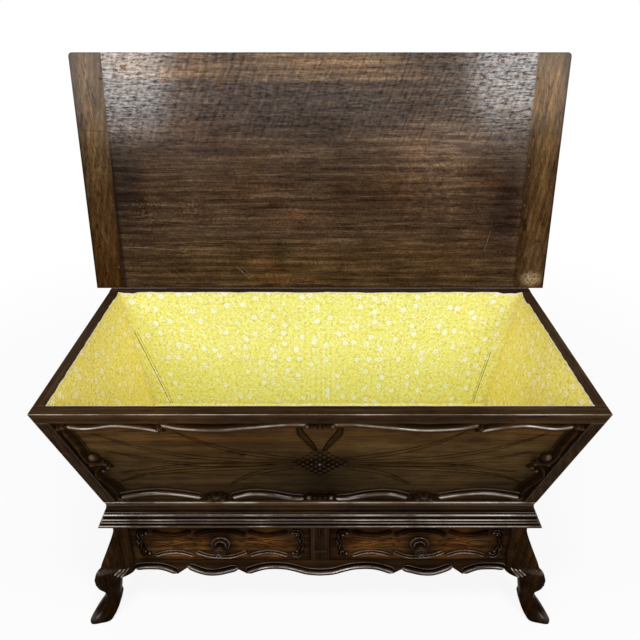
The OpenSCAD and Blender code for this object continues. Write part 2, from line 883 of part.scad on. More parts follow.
box_len = box_end - post_y - box_y;
module drawer_sides() {
    for (side = [0, 1])
        mirror([side, 0, 0]) difference() {
            translate([box_half - drawer_side_t, box_y, 0]) cube([drawer_side_t, box_len, box_h]);
            translate([box_half - drawer_side_t - over, box_y - over, groove_z])
                cube([groove_depth + over, box_len + 2 * over, drawer_bottom_t + fit]);
        }
}
module drawer_back() {
    z0 = groove_z + drawer_bottom_t + fit;
    translate([-box_half + drawer_side_t, box_y + box_len - drawer_side_t, z0])
        cube([2 * (box_half - drawer_side_t), drawer_side_t, box_h - z0 - drawer_back_drop]);
}
module drawer_bottom() {
    translate([
        -box_half + drawer_side_t - groove_depth + fit,
        box_y - groove_depth + fit,
        groove_z,
    ])
        cube([
            2 * (box_half - drawer_side_t + groove_depth - fit),
            box_len + groove_depth - fit,
            drawer_bottom_t,
        ]);
}
// A turned knob: flange, neck, ball and button, with a dowel through the front
module drawer_knob() {
    neck_r = knob_d * 0.19;
    collar_r = knob_d * 0.08;
    ball_r = knob_d * 0.36;
    button_r = knob_d * 0.1;
    button_out = knob_d * 0.04;
    flange_t = knob_d * 0.125;
    ball_x = knob_out - ball_r - button_out;
    translate([0, 0, knob_z]) rotate([90, 0, 0]) {
        translate([0, 0, -drawer_front_t]) cylinder(h = drawer_front_t, r = knob_pin_r, $fn = 48);
        rotate_extrude($fn = 64) difference() {
            union() {
                square([(knob_d - flange_t) / 2, flange_t]);
                translate([(knob_d - flange_t) / 2, flange_t / 2]) circle(r = flange_t / 2, $fn = 32);
                square([neck_r, ball_x]);
                translate([neck_r, flange_t]) circle(r = collar_r, $fn = 32);
                translate([0, ball_x]) circle(r = ball_r, $fn = 64);
                translate([0, knob_out - button_r]) square(button_r);
            }
            translate([-far, -far]) square([far, 2 * far]);
        }
    }
}
module drawer_left_front() {
    color(honey_walnut) place() at_drawer(-1) drawer_front();
}
module drawer_right_front() {
    color(honey_walnut) place() at_drawer(1) drawer_front();
}
module drawer_left_sides() {
    color(walnut) place() at_drawer(-1) drawer_sides();
}
module drawer_right_sides() {
    color(walnut) place() at_drawer(1) drawer_sides();
}
module drawer_left_back() {
    color(walnut) place() at_drawer(-1) drawer_back();
}
module drawer_right_back() {
    color(walnut) place() at_drawer(1) drawer_back();
}
module drawer_left_bottom() {
    color(walnut) place() at_drawer(-1) drawer_bottom();
}
module drawer_right_bottom() {
    color(walnut) place() at_drawer(1) drawer_bottom();
}
module drawer_left_knob() {
    color(dark_walnut) place() at_drawer(-1) drawer_knob();
}
module drawer_right_knob() {
    color(dark_walnut) place() at_drawer(1) drawer_knob();
}

// Hinges: a leaf let into the back board, a leaf let into the lid's back edge, and a pin.
// Leaves are drawn hanging down from the axis, with the wood towards -Y.
knuckles = 5;
knuckle_l = hinge_l / knuckles;
module leaf_plate(length, more) {
    translate([-hinge_l / 2 - more, -leaf_t - more, -length])
        cube([hinge_l + 2 * more, leaf_t + more + (more > 0 ? knuckle_r : 0), length]);
}
module knuckle_rings(first) {
    for (i = [first:2:knuckles - 1])
        translate([-hinge_l / 2 + i * knuckle_l + gap / 2, 0, 0]) rotate([0, 90, 0])
            cylinder(h = knuckle_l - gap, r = knuckle_r, $fn = 48);
}
module knuckle_space(first) {
    for (i = [first:2:knuckles - 1])
        translate([-hinge_l / 2 + i * knuckle_l - gap / 2, 0, 0]) rotate([0, 90, 0])
            cylinder(h = knuckle_l + gap, r = knuckle_r + gap, $fn = 48);
}
// The room for a hinge's barrel and its pin's heads, half in the back board and half in the lid
module knuckle_pocket() {
    rotate([0, 90, 0])
        cylinder(h = hinge_l + 2 * (pin_head_t + gap), r = knuckle_r + fit, center = true, $fn = 48);
}
screw_x = hinge_l * 0.33;
screw_r = 1.6;
screw_head_r = 3.2;
screw_l = 14;
module leaf_screws(length, more) {
    for (i = [-1:1])
        translate([i * screw_x, 0, -length * 0.62]) rotate([90, 0, 0]) {
            cylinder(h = screw_l + more, r = screw_r + more, $fn = 32);
            translate([0, 0, -more])
                cylinder(h = leaf_t * 0.8, r1 = screw_head_r + more, r2 = screw_r + more, $fn = 32);
        }
}
module leaf(length, first) {
    difference() {
        union() {
            leaf_plate(length, 0);
            knuckle_rings(first);
        }
        knuckle_space(1 - first);
        translate([-hinge_l, 0, 0]) rotate([0, 90, 0])
            cylinder(h = 2 * hinge_l, r = hinge_pin_r + pin_clearance, $fn = 48);
        leaf_screws(length, fit / 2);
    }
}
module at_hinge(side) {
    translate([side * hinge_x, axis_y, axis_z]) children();
}
module fixed_leaf() {
    rotate([-side_rake, 0, 0]) leaf(fixed_leaf_l, 0);
}
module fixed_screws(more) {
    for (side = [-1, 1])
        at_hinge(side) rotate([-side_rake, 0, 0]) leaf_screws(fixed_leaf_l, more);
}
// The lid's leaf stands up from the axis when the lid is shut
module upright() {
    mirror([0, 0, 1]) children();
}
module lid_leaf() {
    upright() leaf(lid_leaf_l, 1);
}
module lid_screws(more) {
    for (side = [-1, 1])
        at_hinge(side) upright() leaf_screws(lid_leaf_l, more);
}
pin_head_r = hinge_pin_r * 1.7;
pin_head_t = 1.2;
module hinge_pin() {
    rotate([0, 90, 0]) {
        cylinder(h = hinge_l, r = hinge_pin_r, center = true, $fn = 48);
        for (end = [-1, 1])
            translate([0, 0, end * (hinge_l + pin_head_t) / 2])
                cylinder(h = pin_head_t, r = pin_head_r, center = true, $fn = 48);
    }
}
module hinge_left_leaf() {
    color(iron) place() at_hinge(-1) fixed_leaf();
}
module hinge_right_leaf() {
    color(iron) place() at_hinge(1) fixed_leaf();
}
module hinge_left_pin() {
    color(iron) place() at_hinge(-1) hinge_pin();
}
module hinge_right_pin() {
    color(iron) place() at_hinge(1) hinge_pin();
}
module hinge_left_lid_leaf() {
    color(iron) place() opened() at_hinge(-1) lid_leaf();
}
module hinge_right_lid_leaf() {
    color(iron) place() opened() at_hinge(1) lid_leaf();
}
module hinge_screws() {
    color(iron) place() fixed_screws(0);
}
module lid_hinge_screws() {
    color(iron) place() opened() lid_screws(0);
}

// Lid: two planks between two tapered cleats, drawn shut and then turned up about the hinges
lid_tongue = 12;
lid_tongue_t = 8;
module opened() {
    translate([0, axis_y, axis_z]) rotate([-lid_open, 0, 0]) translate([0, -axis_y, -axis_z]) children();
}
lid_front = rim_d - lid_d;
// Outline of the lid between its cleats, reaching `more` under each cleat
module field_outline(more) {
    polygon([
        [-lid_w / 2 + left_cleat_front - more, lid_front],
        [lid_w / 2 - right_cleat_front + more, lid_front],
        [lid_w / 2 - right_cleat_back + more, rim_d],
        [-lid_w / 2 + left_cleat_back - more, rim_d],
    ]);
}
module lid_outline() {
    translate([0, lid_front + lid_corner])
        for (x = [-1, 1])
            translate([x * (lid_w / 2 - lid_corner), 0]) circle(r = lid_corner, $fn = 48);
    translate([-lid_w / 2, lid_front + lid_corner]) square([lid_w, lid_d - lid_corner]);
    translate([-lid_w / 2 + lid_corner, lid_front]) square([lid_w - 2 * lid_corner, lid_d]);
}
module tongues(more) {
    translate([0, 0, lid_z + (lid_t - lid_tongue_t) / 2 - more])
        linear_extrude(lid_tongue_t + 2 * more) field_outline(lid_tongue + more);
}
module lid_hinge_space() {
    for (side = [-1, 1])
        at_hinge(side) {
            knuckle_pocket();
            upright() leaf_plate(lid_leaf_l + fit, fit);
        }
}
// Pegs through the cleats and the tongues in them, or with `more` their holes
peg_r = 3.5;
peg_places = [0.1, 0.45, 0.62, 0.9];
function seam_x(share, front, back) = lid_w / 2 - front - (back - front) * share;
module pegs(more) {
    for (share = peg_places) {
        left = -seam_x(share, left_cleat_front, left_cleat_back);
        right = seam_x(share, right_cleat_front, right_cleat_back);
        for (x = [left - lid_tongue / 2, right + lid_tongue / 2])
            translate([x, lid_front + share * lid_d, lid_z - more])
                cylinder(h = lid_t + 2 * more, r = peg_r + more * pin_clearance, $fn = 32);
    }
}
module lid_field() {
    translate([0, 0, lid_z]) linear_extrude(lid_t) field_outline(0);
    tongues(0);
}
module lid_plank_front() {
    color(lid_walnut) place() opened() difference() {
        intersection() {
            lid_field();
            translate([-far, lid_front - over, 0]) cube([2 * far, front_plank_d + over - gap / 2, far]);
        }
        pegs(1);
    }
}
module lid_plank_back() {
    color(lid_walnut) place() opened() difference() {
        lid_field();
        translate([-far, lid_front - over, 0]) cube([2 * far, front_plank_d + over + gap / 2, far]);
        pegs(1);
        lid_hinge_space();
        lid_screws(fit / 2);
    }
}
module cleat(side) {
    difference() {
        intersection() {
            translate([0, 0, lid_z]) linear_extrude(lid_t) lid_outline();
            translate([side < 0 ? -far : 0, lid_front - over, 0]) cube([far, lid_d + 2 * over, far]);
        }
        translate([0, 0, lid_z - over]) linear_extrude(lid_t + 2 * over) field_outline(0);
        tongues(fit);
        pegs(1);
    }
}
module lid_cleat_left() {
    color(walnut) place() opened() cleat(-1);
}
module lid_cleat_right() {
    color(walnut) place() opened() cleat(1);
}
module lid_pegs() {
    color(dark_walnut) place() opened() pegs(0);
}

// The origin is under the middle of the whole object
module place() {
    translate([0, -middle_y, 0]) children();
}

trough_rail_top();
trough_rail_bottom();
trough_stile_left();
trough_stile_right();
trough_panel();
trough_back();
trough_end_left();
trough_end_right();
trough_floor();
lining_front();
lining_back();
lining_left();
lining_right();
lining_floor();
foot_front();
foot_left();
foot_right();
foot_back();
leg_front_left();
leg_front_right();
leg_back_left();
leg_back_right();
stand_top_rail();
apron_front();
side_left();
side_right();
stand_back();
drawer_divider();
drawer_runners();
drawer_kickers();
cornice_front();
cornice_left();
cornice_right();
drawer_left_front();
drawer_left_sides();
drawer_left_back();
drawer_left_bottom();
drawer_left_knob();
drawer_right_front();
drawer_right_sides();
drawer_right_back();
drawer_right_bottom();
drawer_right_knob();
hinge_left_leaf();
hinge_left_lid_leaf();
hinge_left_pin();
hinge_right_leaf();
hinge_right_lid_leaf();
hinge_right_pin();
hinge_screws();
lid_hinge_screws();
lid_plank_front();
lid_plank_back();
lid_cleat_left();
lid_cleat_right();
lid_pegs();
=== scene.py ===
import math

import bmesh
import bpy
import numpy as np
from mathutils import Matrix, Vector
from mathutils.bvhtree import BVHTree
from mathutils.geometry import delaunay_2d_cdt


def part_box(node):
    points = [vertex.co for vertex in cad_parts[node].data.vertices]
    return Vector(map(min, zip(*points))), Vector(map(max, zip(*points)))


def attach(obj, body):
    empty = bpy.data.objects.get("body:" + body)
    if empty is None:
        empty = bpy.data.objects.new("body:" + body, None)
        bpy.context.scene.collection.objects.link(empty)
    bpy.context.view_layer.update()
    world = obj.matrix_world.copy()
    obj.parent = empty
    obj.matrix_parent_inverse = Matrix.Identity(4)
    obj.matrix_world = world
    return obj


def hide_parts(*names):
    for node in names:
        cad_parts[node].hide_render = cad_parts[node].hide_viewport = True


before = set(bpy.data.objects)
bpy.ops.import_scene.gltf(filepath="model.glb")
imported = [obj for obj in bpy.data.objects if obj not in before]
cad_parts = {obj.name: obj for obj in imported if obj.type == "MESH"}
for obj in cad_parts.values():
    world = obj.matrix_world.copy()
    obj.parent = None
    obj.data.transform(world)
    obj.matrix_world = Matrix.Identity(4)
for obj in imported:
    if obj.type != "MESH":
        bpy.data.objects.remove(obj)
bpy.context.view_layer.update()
print("frame loaded:", len(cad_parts), "nodes")

# Sizes are in millimetres, from the trough's front rim backwards, and go to metres at the end
trough = {
    "rimWidth": 1217, "rimDepth": 591.5, "rimTop": 693, "footTop": 351, "base": 316,
    "endRake": 13.4, "sideRake": 13.0, "frontThick": 30, "endThick": 25, "backThick": 22,
    "stile": 30, "rail": 30, "bottomRail": 12, "sink": 8,
}
stand = {
    "postX": 524.0, "postFront": 81.96, "postBack": 509.54, "post": 37,
    "apronTop": 150, "railThick": 22, "boardThick": 20, "boardSet": 2,
    "drawerHalf": 230.75, "drawerX": 255.25, "drawerZ": 151, "drawerHigh": 128, "drawerFront": 20,
}
endSlope = math.tan(math.radians(trough["endRake"]))
sideSlope = math.tan(math.radians(trough["sideRake"]))
slopeLength = (trough["rimTop"] - trough["footTop"]) / math.cos(math.radians(trough["sideRake"]))
fullTurn = 6.283
toFrame = Matrix.Translation((0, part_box("trough_rail_top")[0].y, 0)) @ Matrix.Scale(0.001, 4)
mirrorX = Matrix.Scale(-1, 4, (1, 0, 0))


def halfAt(z):
    return trough["rimWidth"] / 2 - (trough["rimTop"] - z) * endSlope


def frontAt(z):
    return (trough["rimTop"] - z) * sideSlope


def backAt(z):
    return trough["rimDepth"] - (trough["rimTop"] - z) * sideSlope


# Planes that the carving is drawn on: X across, Y up, Z out of the wood
def plane(x, y, z, tilt=90, turn=0):
    return (Matrix.Translation((x, y, z)) @ Matrix.Rotation(math.radians(turn), 4, "Z")
            @ Matrix.Rotation(math.radians(tilt), 4, "X"))


onFront = plane(0, 0, trough["rimTop"], 90 + trough["sideRake"])
onGround = onFront @ Matrix.Translation((0, 0, -trough["sink"] * math.cos(math.radians(trough["sideRake"]))))
onApron = plane(0, stand["postFront"], stand["apronTop"])
middleOfStand = (stand["postFront"] + stand["postBack"]) / 2
onSide = plane(stand["postX"] - stand["boardSet"], middleOfStand, stand["apronTop"], 90, 90)

# Camera, at the photograph's place
camera = {"lens": 34.31, "sensor": 36, "place": (0, -1.3690, 1.483), "pitch": 60.7}
cameraData = bpy.data.cameras.new("camera")
cameraData.lens, cameraData.sensor_width = camera["lens"], camera["sensor"]
cameraObject = bpy.data.objects.new("camera", cameraData)
bpy.context.scene.collection.objects.link(cameraObject)
cameraObject.location = camera["place"]
cameraObject.rotation_euler = (math.radians(camera["pitch"]), 0, 0)
bpy.context.scene.camera = cameraObject


# Node helpers
# One output in a node tree. Plain arithmetic on it adds the nodes for that
class Value:
    def __init__(self, socket):
        self.socket, self.tree = socket, socket.id_data

    def sums(self, operation, *others, clamp=False):
        given = dict(enumerate((self, *others)))
        return addNode(self.tree, "ShaderNodeMath", given, operation=operation, use_clamp=clamp)[0]

    def vectors(self, operation, *others, output=0):
        return addNode(self.tree, "ShaderNodeVectorMath", dict(enumerate((self, *others))), operation=operation)[output]

    def __add__(self, other):
        return self.sums("ADD", other)

    def __sub__(self, other):
        return self.sums("SUBTRACT", other)

    def __mul__(self, other):
        return self.sums("MULTIPLY", other)

    def __truediv__(self, other):
        return self.sums("DIVIDE", other)

    def __abs__(self):
        return self.sums("ABSOLUTE")

    def length(self):
        return self.vectors("LENGTH", output="Value")

    def parts(self):
        return addNode(self.tree, "ShaderNodeSeparateXYZ", {0: self})

    def mapped(self, turn=(0, 0, 0), shift=(0, 0, 0), scale=(1, 1, 1)):
        return addNode(self.tree, "ShaderNodeMapping", {
            "Vector": self, "Location": shift, "Rotation": turn, "Scale": scale})[0]

    def spread(self, low, high, to0=0.0, to1=1.0):
        return addNode(self.tree, "ShaderNodeMapRange", {0: self, 1: low, 2: high, 3: to0, 4: to1}, clamp=True)[0]

    def noise(self, scale, detail=2.0, rough=0.5, output="Fac"):
        return addNode(self.tree, "ShaderNodeTexNoise", {
            "Vector": self, "Scale": scale, "Detail": detail, "Roughness": rough})[output]

    def streaks(self, along, across, detail=2.0, rough=0.5):
        return self.mapped(scale=(along, across, 1)).noise(1.0, detail, rough)

    def covered(self, mask, color):
        return mixed(mask, self, color)

    def toned(self, mask, tone):
        return mixed(mask, self, (*tone, 1), "MULTIPLY")


# A node's outputs, by label or place
class Outputs:
    def __init__(self, node):
        self.node = node

    def __getitem__(self, key):
        return Value(self.node.outputs[key])


def feed(node, values):
    for key, value in values.items():
        if isinstance(value, Value):
            node.id_data.links.new(value.socket, node.inputs[key])
        else:
            node.inputs[key].default_value = value


def addNode(tree, kind, values=None, **settings):
    node = tree.nodes.new(kind)
    for key, value in settings.items():
        setattr(node, key, value)
    feed(node, values or {})
    return Outputs(node)


def addGroup(group, **values):
    tree = values["Vector"].tree
    return addNode(tree, "ShaderNodeGroup", values, node_tree=group)


def attribute(tree, name):
    return addNode(tree, "ShaderNodeAttribute", attribute_name=name)["Fac"]


def mixed(factor, a, b, blend="MIX"):
    tree = next(v.tree for v in (factor, a, b) if isinstance(v, Value))
    return addNode(tree, "ShaderNodeMix", {0: factor, 6: a, 7: b}, data_type="RGBA", blend_type=blend)[2]


def highest(first, *others):
    for other in others:
        first = first.sums("MAXIMUM", other)
    return first


# Inputs are labels with a number, a vector or the kind of their socket
def newGroup(name, inputs, outputs, kind="ShaderNodeTree"):
    tree = bpy.data.node_groups.new(name, kind)
    for label, value in inputs.items():
        named = isinstance(value, str)
        socket = value if named else "NodeSocketVector" if isinstance(value, tuple) else "NodeSocketFloat"
        made = tree.interface.new_socket(label, in_out="INPUT", socket_type=socket)
        if not named:
            made.default_value = value
    for label in outputs:
        tree.interface.new_socket(label, in_out="OUTPUT", socket_type=(
            "NodeSocketFloat" if kind == "ShaderNodeTree" else "NodeSocketGeometry"))
    return tree, Outputs(tree.nodes.new("NodeGroupInput")), tree.nodes.new("NodeGroupOutput")


def newMaterial(name):
    material = bpy.data.materials.new(name)
    material.use_nodes = True
    return material, material.node_tree, material.node_tree.nodes["Principled BSDF"]


# Shared shader groups
# Grain: the vector's X runs along the wood. Rings, broad streaks, fine fibres and pores
woodGrain, given, result = newGroup(
    "woodGrain", {"Vector": (0, 0, 0), "Rings": 26.0, "Waviness": 1.6, "Seed": 0.0},
    ("Pattern", "Fibres", "Lines", "Height"))
grainX, grainY, grainZ = given["Vector"].parts()
seedShift = given["Seed"] * 3.71


def stretched(along, across, detail=2.0, rough=0.5):
    return addNode(woodGrain, "ShaderNodeCombineXYZ", {
        0: grainX * along + seedShift, 1: grainY * across, 2: grainZ * across})[0].noise(1.0, detail, rough)


phase = stretched(1.1, 5.0, 3.0, 0.55) * given["Waviness"] + (grainY + grainZ) * given["Rings"]
ring = ((phase * fullTurn).sums("SINE") * 0.5 + 0.5).sums("POWER", 1.7)
streak, fibre = stretched(2.8, 74.0, 4.0, 0.62), stretched(11.0, 360.0, 4.0, 0.7)
mottle, pore = stretched(17.0, 34.0, 4.0, 0.65), stretched(28.0, 900.0, 1.0).spread(0.60, 0.70)
hairline = abs(stretched(1.9, 46.0, 2.0, 0.6) - 0.5).spread(0.022, 0.004) * stretched(9.0, 30.0).spread(0.4, 0.6)
pattern = ring * 0.10 + streak * 0.55 + mottle * 0.45 - 0.39
feed(result, {
    "Pattern": (fibre * 0.70).sums("ADD", pattern, clamp=True), "Fibres": fibre,
    "Lines": highest(pore * 0.6, hairline), "Height": highest(pore, hairline) * -0.7 + (ring * 0.2 + fibre)})

# Wear, dirt and wax, with painted highlights and painted shade: masks from the relief marks that each piece carries,
# broken up by noise. The last mask is a painted highlight on the strongest marks
wearAndPaintedLightMasks, given, result = newGroup(
    "wearAndPaintedLightMasks", {"Vector": (0, 0, 0), "Wear": 1.0}, ("WornAndHighlight", "GrimeAndShade", "Raised", "PaintedHighlight"))
wornAndHighlight, place = attribute(wearAndPaintedLightMasks, "wornAndHighlight"), given["Vector"]
feed(result, {
    "WornAndHighlight": (wornAndHighlight * given["Wear"]).sums("MULTIPLY", place.noise(34.0, 4.0, 0.7).spread(0.32, 0.62), clamp=True),
    "GrimeAndShade": attribute(wearAndPaintedLightMasks, "grimeAndShade").sums("MULTIPLY", place.noise(7.0).spread(0.2, 0.6, 0.75, 1.0), clamp=True),
    "Raised": wornAndHighlight.spread(0.02, 0.4),
    "PaintedHighlight": wornAndHighlight.spread(0.50, 1.0) * place.noise(8.0, 3.0, 0.6).spread(0.44, 0.62, 0.05, 0.9)})

# Marks of use on broad boards: small dark dents and fine pale scratches
useMarks, given, result = newGroup("useMarks", {"Vector": (0, 0, 0), "Amount": 1.0}, ("Scratches", "Dents"))
scratched = [given["Vector"].mapped((0, 0, turn), (seed, seed * 0.3, 0), (9.0, 420.0, 3.0)).noise(1.0, 0.0)
             for turn, seed in ((0.5, 1.0), (-0.9, 7.0))]
dented = addNode(useMarks, "ShaderNodeTexVoronoi", {"Vector": given["Vector"], "Scale": 21.0})["Distance"]
feed(result, {
    "Scratches": highest(*scratched).spread(0.82, 0.86).sums("MULTIPLY", given["Amount"], clamp=True),
    "Dents": dented.spread(0.045, 0.02).sums("MULTIPLY", given["Amount"], clamp=True)})

# A soft oval patch, and a thin stroke between two places
softPatch, given, result = newGroup(
    "softPatch", {"Vector": (0, 0, 0), "Centre": (0, 0, 0), "Size": (0.1, 0.1, 1), "Edge": 0.7}, ("Mask",))
apart = given["Vector"].vectors("SUBTRACT", given["Centre"]).vectors("DIVIDE", given["Size"])
feed(result, {"Mask": apart.length().spread(1.0, given["Edge"] * -1.0 + 1.0)})

strokeMask, given, result = newGroup(
    "strokeMask", {"Vector": (0, 0, 0), "Start": (0, 0, 0), "End": (0.1, 0, 0), "Width": 0.002}, ("Mask",))
whole, begun = (given[key].vectors("SUBTRACT", given["Start"]) for key in ("End", "Vector"))
share = begun.vectors("DOT_PRODUCT", whole, output="Value").sums(
    "DIVIDE", whole.vectors("DOT_PRODUCT", whole, output="Value"), clamp=True)
nearest = addNode(strokeMask, "ShaderNodeVectorMath", {0: whole, "Scale": share}, operation="SCALE")[0]
narrow = given["Width"] * given["Vector"].noise(90.0).spread(0.3, 0.65, 0.25, 1.0)
feed(result, {"Mask": (begun.vectors("SUBTRACT", nearest).length() / narrow).spread(1.0, 0.4)})
print("shader groups made")


def patchOn(place, x, y, wide, high, edge):
    return addGroup(softPatch, Vector=place, Centre=(x, y, 0), Size=(wide, high, 1), Edge=edge)[0]


def strokeOn(place, start, end, width):
    return addGroup(strokeMask, Vector=place, Start=(*start, 0), End=(*end, 0), Width=width)[0]


# Materials
woodLooks = {
    "lidWood": {"dark": (0.017, 0.009, 0.005), "mid": (0.066, 0.038, 0.021), "light": (0.165, 0.107, 0.062),
                "rings": 48, "waviness": 3.4, "rough": 0.40, "coat": 0.0, "wear": 0.5, "marks": 0.7, "lines": 0.75},
    "cleatWood": {"dark": (0.026, 0.012, 0.004), "mid": (0.088, 0.049, 0.019), "light": (0.190, 0.118, 0.055),
                  "rings": 60, "waviness": 1.6, "rough": 0.42, "coat": 0.0, "wear": 0.6, "marks": 0.0, "lines": 0.9},
    "frameWood": {"dark": (0.013, 0.006, 0.0025), "mid": (0.044, 0.023, 0.0095), "light": (0.090, 0.050, 0.021),
                  "rings": 50, "waviness": 1.6, "rough": 0.36, "coat": 0.2, "wear": 1.0, "marks": 0.4, "lines": 0.6},
    "stileWood": {"dark": (0.008, 0.004, 0.0016), "mid": (0.028, 0.0150, 0.0055), "light": (0.060, 0.032, 0.012),
                  "rings": 50, "waviness": 1.6, "rough": 0.36, "coat": 0.2, "wear": 1.0, "marks": 0.4, "lines": 0.5},
    "panelWood": {"dark": (0.020, 0.010, 0.003), "mid": (0.066, 0.037, 0.012), "light": (0.125, 0.072, 0.023),
                  "rings": 34, "waviness": 2.2, "rough": 0.38, "coat": 0.25, "wear": 0.5, "marks": 0.3, "lines": 0.6,
                  "moulded": (0.52, 0.46, 0.43)},
    "drawerWood": {"dark": (0.016, 0.006, 0.002), "mid": (0.082, 0.038, 0.011), "light": (0.240, 0.125, 0.034),
                   "rings": 40, "waviness": 2.0, "rough": 0.34, "coat": 0.3, "wear": 0.35, "marks": 0.3, "lines": 0.6,
                   "moulded": (0.34, 0.32, 0.34)},
    "darkWood": {"dark": (0.0035, 0.0015, 0.0005), "mid": (0.019, 0.0085, 0.0026), "light": (0.052, 0.024, 0.008),
                 "rings": 40, "waviness": 1.4, "rough": 0.30, "coat": 0.3, "wear": 0.6, "marks": 0.3, "lines": 0.5},
    "rawWood": {"dark": (0.060, 0.034, 0.018), "mid": (0.150, 0.090, 0.048), "light": (0.260, 0.165, 0.092),
                "rings": 40, "waviness": 2.0, "rough": 0.66, "coat": 0.0, "wear": 0.3, "marks": 0.6, "lines": 0.4},
}
# The pale tone of the painted highlights on mouldings and arrises
paintedHighlightTone = (0.66, 0.58, 0.49, 1)
alongX, alongY, alongZ = (0, 0, 0), (0, 0, -math.pi / 2), (0, math.pi / 2, 0)


def tint(color, factor=1.0, lift=0.0):
    return (*[min(1, c * factor + lift) for c in color], 1)


def woodMaterial(name, look, turn=alongX, seed=0.0, extra=None):
    values = woodLooks[look]
    material, tree, shader = newMaterial(name)
    place = addNode(tree, "ShaderNodeTexCoord")["Object"]
    along = place.mapped(turn)
    grain = addGroup(woodGrain, Vector=along, Rings=values["rings"], Waviness=values["waviness"], Seed=seed)
    wear = addGroup(wearAndPaintedLightMasks, Vector=place, Wear=values["wear"])
    marks = addGroup(useMarks, Vector=along, Amount=values["marks"])
    ramp = addNode(tree, "ShaderNodeValToRGB", {0: grain["Pattern"]})
    stops = ramp.node.color_ramp.elements
    stops[0].color, stops[0].position = tint(values["dark"]), 0.24
    stops[1].color, stops[1].position = tint(values["light"]), 0.80
    stops.new(0.5).color = tint(values["mid"])
    color = ramp[0].toned(along.noise(3.2, 3.0, 0.6).spread(0.38, 0.66, 0.0, 0.9), (0.62, 0.58, 0.58))
    color = color.toned(along.noise(5.1).spread(0.5, 0.75, 0.0, 0.9), (1.35, 1.2, 1.0))
    rough = grain["Fibres"] * 0.16 + (values["rough"] - 0.08)
    coat, height = wear["Raised"] * values["coat"], grain["Height"]
    if "moulded" in values:
        color = color.toned(1.0, values["moulded"]).covered(attribute(tree, "field"), color)
    color = color.covered(grain["Lines"] * values["lines"], tint(values["dark"], 0.7))
    if extra:
        color, coat, height = extra(place, color, coat, height)
    # Dents and scratches; wear, which on marked mouldings is a painted highlight; dirt, which in marked hollows and
    # along mouldings is painted shade; and the painted highlights in their pale tone
    for mask, strength, tone in (
            (marks["Dents"], 0.8, tint(values["dark"], 0.5)),
            (marks["Scratches"], 0.35, tint(values["light"], 2.0, 0.02)),
            (wear["WornAndHighlight"], 0.75, tint(values["light"], 1.8, 0.012)),
            (wear["GrimeAndShade"], 0.95, tint(values["dark"], 0.25)),
            (wear["PaintedHighlight"], 0.85, paintedHighlightTone)):
        color = color.covered(mask * strength, tone)
    bump = addNode(tree, "ShaderNodeBump", {"Height": height, "Strength": 0.35, "Distance": 0.0006})
    feed(shader, {
        "Base Color": color, "Roughness": wear["GrimeAndShade"] * 0.3 + rough, "Normal": bump[0],
        "Coat Weight": highest(coat, wear["PaintedHighlight"]), "Coat Roughness": 0.13, "Coat IOR": 1.9,
        "Specular IOR Level": 0.008})
    return material


